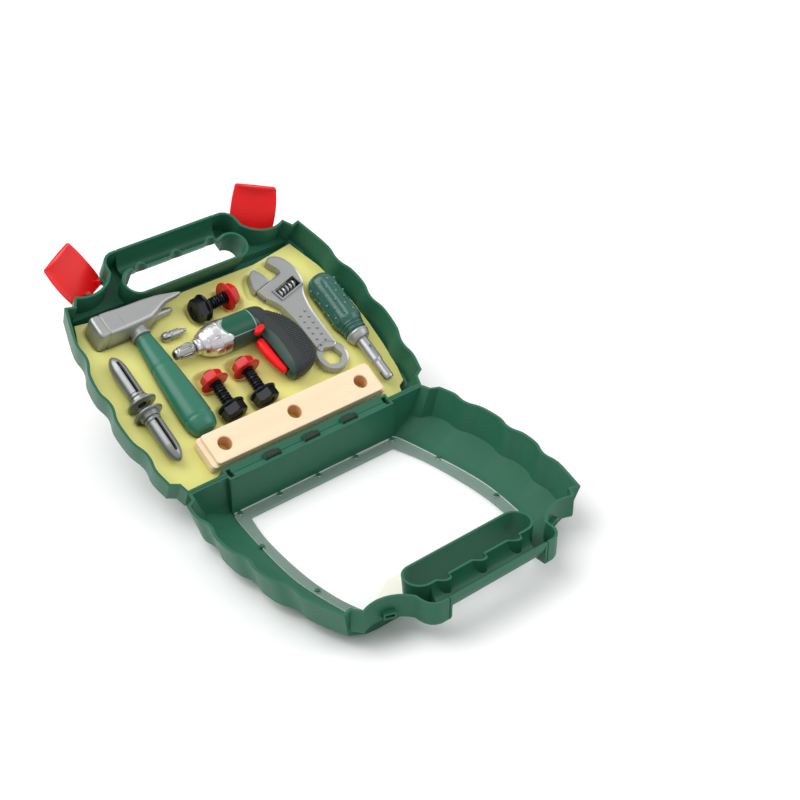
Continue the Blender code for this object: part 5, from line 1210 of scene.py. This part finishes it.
beam = {"place": (7, 33), "length": 211, "width": 35, "thick": 16, "corner": 4, "step": 4.0, "stepHeight": 5,
        "round": 1.5, "hole": 7.3, "pitch": 83, "low": -23.7}


def onHole(face):
    near = any(abs(math.hypot(face.center.x - place, face.center.y) - beam["hole"]) < 0.4
               for place in (-beam["pitch"], 0, beam["pitch"]))
    return near and abs(face.normal.z) < 0.3


def makeBeam():
    halfX, halfY, c = beam["length"] / 2, beam["width"] / 2, beam["corner"]
    outline = []
    for sx, sy, start in ((1, 1, 0), (-1, 1, 90), (-1, -1, 180), (1, -1, 270)):
        outline += [(sx * (halfX - c) + c * math.cos(a), sy * (halfY - c) + c * math.sin(a))
                    for a in angles(start, start + 90, 6)]
    low, high, r, s, h = beam["low"], beam["low"] + beam["thick"], beam["round"], beam["step"], beam["hole"]
    step = high - beam["stepHeight"]
    # Inset all round, inset of the ends and height
    levels = [(r, 0, low), (r * 0.3, 0, low + r * 0.3), (0, 0, low + r), (0, 0, step - 1.2),
              (0.1, 0.35, step - 0.35), (0.2, s - 0.6, step), (0.4, s, step + 0.5), (0.4, s, high - r),
              (0.4 + r * 0.3, s, high - r * 0.3), (0.4 + r, s, high)]
    obj = loft("beam", [[(x * (1 - ends / halfX), y, z) for x, y in offsetLoop(outline, -inset)]
                        for inset, ends, z in levels])
    hole = ((h + 1.2, low - 1), (h + 0.9, low), (h, low + 0.9), (h, high - 0.8), (h + 0.7, high),
            (h + 0.9, high + 1))
    for place in (-beam["pitch"], 0, beam["pitch"]):
        cutAll(obj, loft("hole", [levelled(circleAt(place, 0, radius, 40), z) for radius, z in hole]))
    tinted(obj, ("beech", "holeBrown"), onHole)
    placeTool(obj, spaceAt((*beam["place"], 0)), "beam", "beam", 30)


driver = {"line": 138.5, "depth": 12.6, "wall": 2.2, "skin": 0.4, "rib": 0.9, "ribPitch": 2.2,
          "ribZone": (72, 136), "ribShares": (-0.12, 0.06, 0.24, 0.42, 0.60), "ribWidth": 0.14,
          "ribHalf": 0.6, "ribSoft": 0.025, "label": (-15, 23, 44), "plate": (17.75, 3.5, 1.2, 10),
          "plateFace": (18.0, 3.0, 0.9, 9), "plateRim": (17.66, 1.5, 1.2, 8), "switch": (22, 123, 20),
          "switchLines": (-2.6, 0, 2.6), "button": 14.62, "trigger": 5.5, "spindle": 2.5, "vents": 8,
          "ventHeight": 16.2, "flutes": 8, "flute": 1.25, "fluteHeight": 7.5, "square": 2.1}
# Centre, half width, half thickness and turn of the grip, from the barrel down
gripStations = [(36.5, 141, 16, 15.5, -16), (42, 131, 19.5, 15.8, -10), (45.9, 120, 21.6, 15.8, -5),
                (48, 106, 21.9, 15.6, 0), (48.4, 91, 21.4, 15, 3), (47.6, 80, 20, 14.4, 7),
                (46.8, 74.6, 18.2, 13.2, 9), (46.2, 71.0, 15.2, 11.2, 10), (45.8, 68.8, 10.6, 8, 10),
                (45.6, 67.8, 4.4, 3.4, 10)]
barrelLine = [(-7.7, 17), (14, 16.7), (27, 16.3), (34, 15.8), (38.5, 14.6), (41.5, 12.2), (43, 9), (43.4, 4)]
skinEdge = [(27, 160), (24.5, 152), (24.5, 144), (26.5, 136), (30, 128), (33.6, 119), (36.2, 108), (37, 95),
            (36, 82), (34.5, 72), (33, 62), (31, 54)]
triggerRoom = [(34.5, 121), (16, 120.2), (17, 99), (22, 75.2), (34.6, 75), (37.8, 81), (35.8, 100)]
# Place, centre, half width and half height down the trigger
triggerLine = [(119.4, 24.4, 2.2, 2.0), (118.8, 24.2, 4.4, 4.0), (116.4, 23.8, 5.7, 5.1),
               (108, 23.5, 5.8, 5.2), (97, 24.3, 5.4, 5.0), (86, 26.0, 4.7, 4.6), (79.5, 27.2, 4.1, 4.1),
               (76.9, 27.6, 3.0, 3.1), (76.1, 27.7, 1.2, 1.3)]
noseLine = [(-42, 7.2), (-41.4, 8.0), (-38.2, 8.2), (-37.8, 7.4), (-36.9, 7.4), (-36.4, 9.4), (-35, 11.2),
            (-31.5, 13.2), (-31.1, 12.7), (-30.3, 12.7), (-29.9, 13.9), (-24, 16.0), (-18, 17.2),
            (-17.5, 16.8), (-16.7, 16.8), (-16.2, 17.4), (-7.2, 17.4), (-6.6, 16.6)]
chuckLine = [(-65, 4.0), (-64.4, 4.9), (-62.6, 5.8), (-61.8, 5.4), (-60.8, 5.4), (-60, 6.3), (-47, 7.7),
             (-45.6, 7.2), (-44.6, 5.4), (-43.4, 5.2), (-42.6, 4.8)]
driverSpace = spaceAt((0, 0, -driver["depth"]))


def gripForm(name, grow):
    rings = []
    for x, y, halfWidth, halfThick, turn in smoothSteps(gripStations, 10):
        angle, wide, thick = math.radians(turn), halfWidth + grow, halfThick + grow
        rings.append([(x + wide * a * math.cos(angle), y + wide * a * math.sin(angle), thick * b)
                      for a, b in ellipse(56, 1, 1, driver["square"])])
    return loft(name, rings)


def barrelForm(name, grow, start=-99):
    return loft(name, [[(x, driver["line"] + a * (r + grow), b * (r + grow)) for a, b in ellipse(64)]
                       for x, r in smoothSteps(barrelLine, 5) if x > start])


def gripRib(station, sign, first):
    # one small raised bar on the back of the grip
    x, y, halfWidth, halfThick, turn = station
    angle, power = math.radians(turn), driver["square"]
    wide, thick = halfWidth + driver["skin"], halfThick + driver["skin"]
    dx, dy = -driver["ribHalf"] * math.sin(angle), driver["ribHalf"] * math.cos(angle)
    end, soft = first + driver["ribWidth"], driver["ribSoft"]
    rings = []
    for a, lift in ((first, 0.1), (first + soft, driver["rib"]), (end - soft, driver["rib"]), (end, 0.1)):
        height = thick * (1 - abs(a) ** power) ** (1 / power)
        cx, cy = x + wide * a * math.cos(angle), y + wide * a * math.sin(angle)
        rings.append([(cx + dx * way, cy + dy * way, sign * (height + rise))
                      for way, rise in ((-1, -0.6), (1, -0.6), (0.6, lift), (-0.6, lift))])
    return loft("rib", rings)


def gripRibs():
    ribs, walked, last = [], 0.0, gripStations[0]
    low, high = driver["ribZone"]
    for station in smoothSteps(gripStations, 40):
        walked += math.hypot(station[0] - last[0], station[1] - last[1])
        last = station
        if walked >= driver["ribPitch"] and low <= station[1] <= high:
            walked = 0.0
            ribs += [gripRib(station, sign, first) for sign in (1, -1) for first in driver["ribShares"]]
    return ribs


def barrelPatch(name, start, end, span, radius, corner, thick, point):
    # a curved plate over the barrel, as far to both sides as its span, and pointed at its start
    places = [start + corner * (1 - math.cos(a)) for a in angles(15, 90, 4)]
    if point > corner:
        places.append(start + point)
    places += [end - corner * (1 - math.sin(a)) for a in angles(0, 75, 4)]
    rings = []
    for x in places:
        edge = math.degrees(cornerPull(corner, min(x - start, end - x)) / radius)
        edge += 30 * (1 - (x - start) / point) if x - start < point else 0
        turns = [math.radians(90 - (edge - span + 2 * (span - edge) * step / 14)) for step in range(15)]
        rings.append([(x, driver["line"] + reach * math.cos(t), reach * math.sin(t))
                      for reach, way in ((radius, 1), (radius - thick, -1)) for t in turns[::way]])
    return bevelEdges(loft(name, rings), 0.25, 50)


def driverForm(name, grow):
    return joinAll(barrelForm(name, grow), gripForm("grip", grow))


def spindleRoom():
    return shift(roundBar("spindleRoom", 3, -12, 0), (0, driver["line"], 0))


def placeDriver(obj, body, node, angle=40):
    placeTool(obj, driverSpace, body, node, angle)


def makeHousing():
    x, y, turn = driver["switch"]
    start, end, span = driver["label"]
    upper, wall, room = driverForm("driverTop", 0), driver["wall"], driver["trigger"] + 0.5
    cutAll(upper, box("below", (-20, 40, -30), (80, 170, 0.15)), spindleRoom(),
           prism("triggerRoom", triggerRoom, -2, room),
           shift(prism("slot", ellipse(32, 9.2, 3.9, 2.6), 12.2, 22), (x, y, 0), turn))
    paint(bevelEdges(upper, 0.25, 50), "driverGreen")
    plate = paint(barrelPatch("plate", start, end, span, *driver["plate"]), "labelEdge")
    face = paint(barrelPatch("face", start + 1.6, end - 1.4, span - 4, *driver["plateFace"]), "labelGreen")
    placeDriver(joinPieces("driverTop", [upper, plate, face]), "driver", "driver_housing_upper")

    lower, hollow = driverForm("driverBack", 0), driverForm("hollow", -wall)
    cutAll(hollow, box("ends", (30, 60, -30), (60, 71, 30)), box("front", (-20, 110, -30), (-5, 170, 30)))
    cutAll(lower, hollow, box("above", (-20, 40, 0), (80, 170, 30)),
           box("doorPlace", (34.5, 78, -30), (55.5, 116, -3)), prism("triggerRoom", triggerRoom, -room, 2),
           spindleRoom())
    paint(bevelEdges(lower, 0.25, 50), "driverGreen")
    placeDriver(lower, "driver", "driver_housing_lower")


def makeRubber():
    skin = joinAll(gripForm("driverRubber", driver["skin"]), barrelForm("cap", driver["skin"], 20))
    combine(skin, "INTERSECT", [prism("zone", skinEdge + [(90, 54), (90, 160)], -30, 30)])
    cutAll(skin, box("doorNotch", (34.7, 78.2, -30), (55.3, 115.8, -3)))
    paint(bevelEdges(skin, 0.35, 50), "rubberBlack")
    # the ribs get the lighter painted highlight, the rest stays plain rubber
    skin = joinPieces("driverRubber", [skin] + [paint(rib, "rubberRibHighlight") for rib in gripRibs()])
    placeDriver(skin, "driver", "driver_grip", 38)


def makeNose():
    line, (start, _, span) = driver["line"], driver["label"]
    nose = turned("driverNose", noseLine, 72, 0.4)
    for index in range(driver["vents"]):
        vent = turned("vent", [(-28, 0.2), (-26.5, 1.1), (-22, 1.7), (-18.4, 1.1), (-17.6, 0.2)], 16)
        shift(vent, (0, 0, driver["ventHeight"]))
        cutAll(nose, shift(vent, (0, 0, 0), 22.5 + 45 * index, "X"))
    cutAll(nose, roundBar("spindle", 2.9, -44, -6))
    rim = barrelPatch("labelRim", start - 2.6, -5.6, span + 5, *driver["plateRim"])
    obj = paint(joinPieces("driverNose", [nose, shift(rim, (0, -line, 0))]), "noseChrome")
    placeDriver(shift(obj, (0, line, 0)), "driver", "driver_nose", 38)

    chuck = turned("chuck", chuckLine, 48, 0.35)
    for index in range(driver["flutes"]):
        flute = bevelEdges(roundBar("flute", driver["flute"], -59.4, -47.6), 0.5, 50)
        turn = Matrix.Rotation(math.radians(45 * index + 10), 4, "X")
        flute.data.transform(turn @ Matrix.Translation((0, 0, driver["fluteHeight"])))
        cutAll(chuck, flute)
    cutAll(chuck, turned("bitHole", [(-66, 3.1), (-51, 3.1)], 6))
    joinAll(chuck, roundBar("spindle", driver["spindle"], -48, -4.3))
    paint(chuck, "chuckGrey")
    placeDriver(shift(chuck, (0, line, 0)), "driver_chuck", "driver_chuck", 38)


def makeControls():
    trigger = loft("driverTrigger", [[(x + a * k, y, b * h) for a, b in ellipse(32)]
                                     for y, x, k, h in smoothSteps(triggerLine, 4)])
    placeDriver(paint(trigger, "latchRed"), "driver_trigger", "driver_trigger")
    x, y, turn = driver["switch"]
    top = driver["button"]
    levels = ((1, -2.2), (1, 1.6), (0.95, 2.3), (0.8, 2.9), (0.5, 3.2), (0.1, 3.3))
    button = loft("driverButton", [[(a * k, b * k, top + rise) for a, b in ellipse(40, 6.6, 3.3, 2.3)]
                                   for k, rise in levels])
    for step in driver["switchLines"]:
        cutAll(button, box("line", (step - 0.3, -2, top + 2.7), (step + 0.3, 2, top + 5)))
    paint(button, "latchRed")
    placeDriver(shift(button, (x, y, 0), turn), "driver_switch", "driver_switch")


# The insert: a sheet drawn down round the tools, as a grid of heights

sheet = {"step": 1.5, "top": -24.0, "deepest": -30.85, "margin": 0.5, "thick": 0.55, "nutRadius": 15.2,
         "ray": 60, "cross": ((0, 0), (1, 0), (-1, 0), (0, 1), (0, -1)),
         "square": [(i, j) for i in (-1, 0, 1) for j in (-1, 0, 1)],
         "travel": {"wrenchJaw": (-5.6, -2.8, 0, 2.8, 5.6, 8.2, 10.6), "wormWheel": (0, 0.01)},
         "travelDrop": 0.8, "boltEnds": (-1.5, 56), "boltMiddle": (15, 37), "boltPlay": 0.3,
         "play": 0.5, "footPlay": 0.3}


def insertOutline():
    # the tray's wall leans in by this much at the height of the sheet
    lean, wall = case["trayInset"] * -sheet["top"] / case["trayCrease"], case["wall"]
    whole = offsetLoop(bothSides(corners(rimShares)), -(lean + wall + sheet["play"] + case["scoop"] * 0.8))
    top = case["holeMiddle"] - case["holeRadius"] - wall - 1
    foot = case["recess"] + wall + sheet["footPlay"]
    right = [(x, max(y, foot)) for x, y in whole if x > case["holeHalf"] * 0.2]
    right = [p for p in right if p[1] < case["height"] * 0.94]
    corner = case["halfWidth"] * rimShares[9][0] - lean - wall - 4
    right += [(corner, case["height"] * 0.955), (case["holeHalf"] + 7.5, top)]
    return bothSides(right)


def insideOutline(x, y, outline):
    inside = False
    for (ax, ay), (bx, by) in zip(outline, outline[1:] + outline[:1]):
        if (ay > y) != (by > y) and x < (bx - ax) * (y - ay) / (by - ay) + ax:
            inside = not inside
    return inside


def nearestOnOutline(x, y, outline):
    point, best = Vector((x, y)), None
    for a, b in zip(outline, outline[1:] + outline[:1]):
        start, run = Vector(a), Vector(b) - Vector(a)
        share = max(0.0, min(1.0, (point - start).dot(run) / max(run.length_squared, 1e-9)))
        place = start + run * share
        if best is None or (place - point).length < best[0]:
            best = ((place - point).length, place)
    return best[1]


def undersideTree():
    verts, faces = [], []
    back = Matrix.Scale(1 / mm, 4) @ traySpace.inverted()
    slide = Vector((math.cos(math.radians(wrench["turn"])), math.sin(math.radians(wrench["turn"])), 0))
    for obj in tools:
        # the wrench's moving pieces need room for their own travel
        for step in sheet["travel"].get(obj.name, (0,)):
            start = len(verts)
            move = slide * step - Vector((0, 0, sheet["travelDrop"] if step else 0))
            verts += [back @ v.co + move for v in obj.data.vertices]
            faces += [tuple(start + i for i in face.vertices) for face in obj.data.polygons]
    return BVHTree.FromPolygons(verts, faces)


def pocketHeight(under, x, y):
    # how low the sheet has to go at one place
    hit = under.ray_cast(Vector((x, y, -sheet["ray"])), Vector((0, 0, 1)), sheet["ray"])
    height = hit[0].z - sheet["margin"] if hit[0] is not None else 0.0
    (start, end), (stop, go) = sheet["boltEnds"], sheet["boltMiddle"]
    for bx, by, turn in bolt["places"]:
        a = math.radians(turn)
        along = (x - bx) * math.cos(a) + (y - by) * math.sin(a)
        side = -(x - bx) * math.sin(a) + (y - by) * math.cos(a)
        if start < along < end and abs(side) < sheet["nutRadius"] and (along < stop or along > go):
            middle = pocketFloor + bolt["flange"] + sheet["boltPlay"]
            height = min(height, middle - math.sqrt(sheet["nutRadius"] ** 2 - side * side))
    return max(sheet["deepest"], min(sheet["top"], height))


def around(grid, row, column, steps):
    # the values next to one place of a grid, held at its edges
    return [grid[min(max(row + i, 0), len(grid) - 1)][min(max(column + j, 0), len(grid[0]) - 1)]
            for i, j in steps]


def makeInsert():
    outline, step = insertOutline(), sheet["step"]
    lowX, highX = min(x for x, _ in outline), max(x for x, _ in outline)
    lowY, highY = min(y for _, y in outline), max(y for _, y in outline)
    rows, columns = range(int((highY - lowY) / step) + 2), range(int((highX - lowX) / step) + 2)
    under = undersideTree()
    heights = [[pocketHeight(under, lowX + c * step, lowY + r * step) for c in columns] for r in rows]
    drawn = [[min(around(heights, r, c, sheet["cross"])) for c in columns] for r in rows]
    for _ in range(2):
        soft = [[sum(around(drawn, r, c, sheet["square"])) / 9 for c in columns] for r in rows]
        drawn = [[min(soft[r][c], heights[r][c]) for c in columns] for r in rows]
    inside = [[insideOutline(lowX + c * step, lowY + r * step, outline) for c in columns] for r in rows]
    bm, verts = bmesh.new(), {}

    def corner(r, c):
        if (r, c) not in verts:
            x, y = lowX + c * step, lowY + r * step
            if not inside[r][c]:
                x, y = nearestOnOutline(x, y, outline)
            verts[r, c] = bm.verts.new((x, y, drawn[r][c]))
        return verts[r, c]

    for r in rows[:-1]:
        for c in columns[:-1]:
            if any(inside[r + i][c + j] for i in (0, 1) for j in (0, 1)):
                bm.faces.new((corner(r, c), corner(r, c + 1), corner(r + 1, c + 1), corner(r + 1, c)))
    bmesh.ops.dissolve_degenerate(bm, dist=0.05, edges=bm.edges)
    mesh = bpy.data.meshes.new("insertSheet")
    bm.to_mesh(mesh)
    bm.free()
    obj = addObject("insertSheet", mesh)
    wall = obj.modifiers.new("wall", "SOLIDIFY")
    wall.thickness, wall.offset = sheet["thick"], -1
    applyModifiers(obj)
    paint(obj, "sheetYellow")
    placePiece(obj, traySpace, "tray", ["insert_tray"], 60)


makeLid()
print("stage: lid")
makeTray()
print("stage: tray")
makePane()
print("stage: pane and label")
makeLatch("latchLeft", -1, latch["openLeft"])
makeLatch("latchRight", 1, latch["openRight"])
print("stage: latches")
for index, (place, side) in enumerate(plug["places"]):
    makePlug("wall_plug_%d" % (index + 1), place, side)
makeBit()
for index in range(3):
    makeBolt(index)
print("stage: small tools")
makeHammer()
makeWrench()
makeScrewdriver()
makeBeam()
print("stage: hand tools")
makeHousing()
makeRubber()
makeNose()
makeControls()
print("stage: power screwdriver")
makeInsert()
print("stage: insert")

for node in ("driver_motor", "cell_1", "cell_2"):
    paint(nodes[node], "innerDarkAndBoreShade")
paint(nodes["worm_pin"], "wormDarkAndWindowShade")
paint(nodes["battery_door"], "driverGreen")


# Stage, lights and camera

studio = {"floor": 5.0, "floorTone": 0.93, "floorRough": 0.8, "floorDrop": 0.0004, "sky": 0.72,
          "aim": (0, 0, 0.05),
          "lamps": {"key": ((-1.2, 0.9, 2.4), 62, 2.6), "fill": ((1.8, -1.4, 1.8), 16, 1.6)}}
view = {"azimuth": 41.27, "elevation": 33.51, "roll": 0.63, "place": (-0.7994, -1.0403, 0.954),
        "sensor": 36, "lens": 74.96}


def makeStudio():
    side, tone = studio["floor"], studio["floorTone"]
    floor = newObject("floor", [(-side, -side, 0), (side, -side, 0), (side, side, 0), (-side, side, 0)],
                      [(0, 1, 2, 3)])
    paints["floor"], _, shader = newMaterial("floorPaint")
    shader.inputs["Base Color"].default_value = (tone, tone, tone, 1)
    shader.inputs["Roughness"].default_value = studio["floorRough"]
    paint(floor, "floor")
    floor.location.z = -studio["floorDrop"]
    world = bpy.data.worlds.new("studioSky")
    bpy.context.scene.world = world
    world.use_nodes = True
    world.node_tree.nodes["Background"].inputs["Color"].default_value = (1, 1, 1, 1)
    world.node_tree.nodes["Background"].inputs["Strength"].default_value = studio["sky"]
    for name, (place, power, size) in studio["lamps"].items():
        data = bpy.data.lights.new(name, "AREA")
        data.energy, data.size = power, size
        lamp = addObject(name, data)
        lamp.location = place
        lamp.rotation_euler = (Vector(studio["aim"]) - Vector(place)).to_track_quat("-Z", "Y").to_euler()


def makeCamera():
    azimuth, elevation, roll = (math.radians(view[name]) for name in ("azimuth", "elevation", "roll"))
    look = Vector((math.sin(azimuth) * math.cos(elevation), math.cos(azimuth) * math.cos(elevation),
                   -math.sin(elevation)))
    right = look.cross(Vector((0, 0, 1))).normalized()
    up = right.cross(look)
    camX = right * math.cos(roll) + up * math.sin(roll)
    camY = up * math.cos(roll) - right * math.sin(roll)
    data = bpy.data.cameras.new("photoCamera")
    data.sensor_width, data.lens, data.clip_end = view["sensor"], view["lens"], 20
    camera = addObject("photoCamera", data)
    x, y, z = view["place"]
    turn = Matrix((camX, camY, -look)).transposed().to_4x4()
    camera.matrix_world = Matrix.Translation((x, y + hingePlace.y, z)) @ turn
    bpy.context.scene.camera = camera


makeStudio()
makeCamera()
bpy.context.scene.view_settings.view_transform = "Standard"
print("stage: studio")
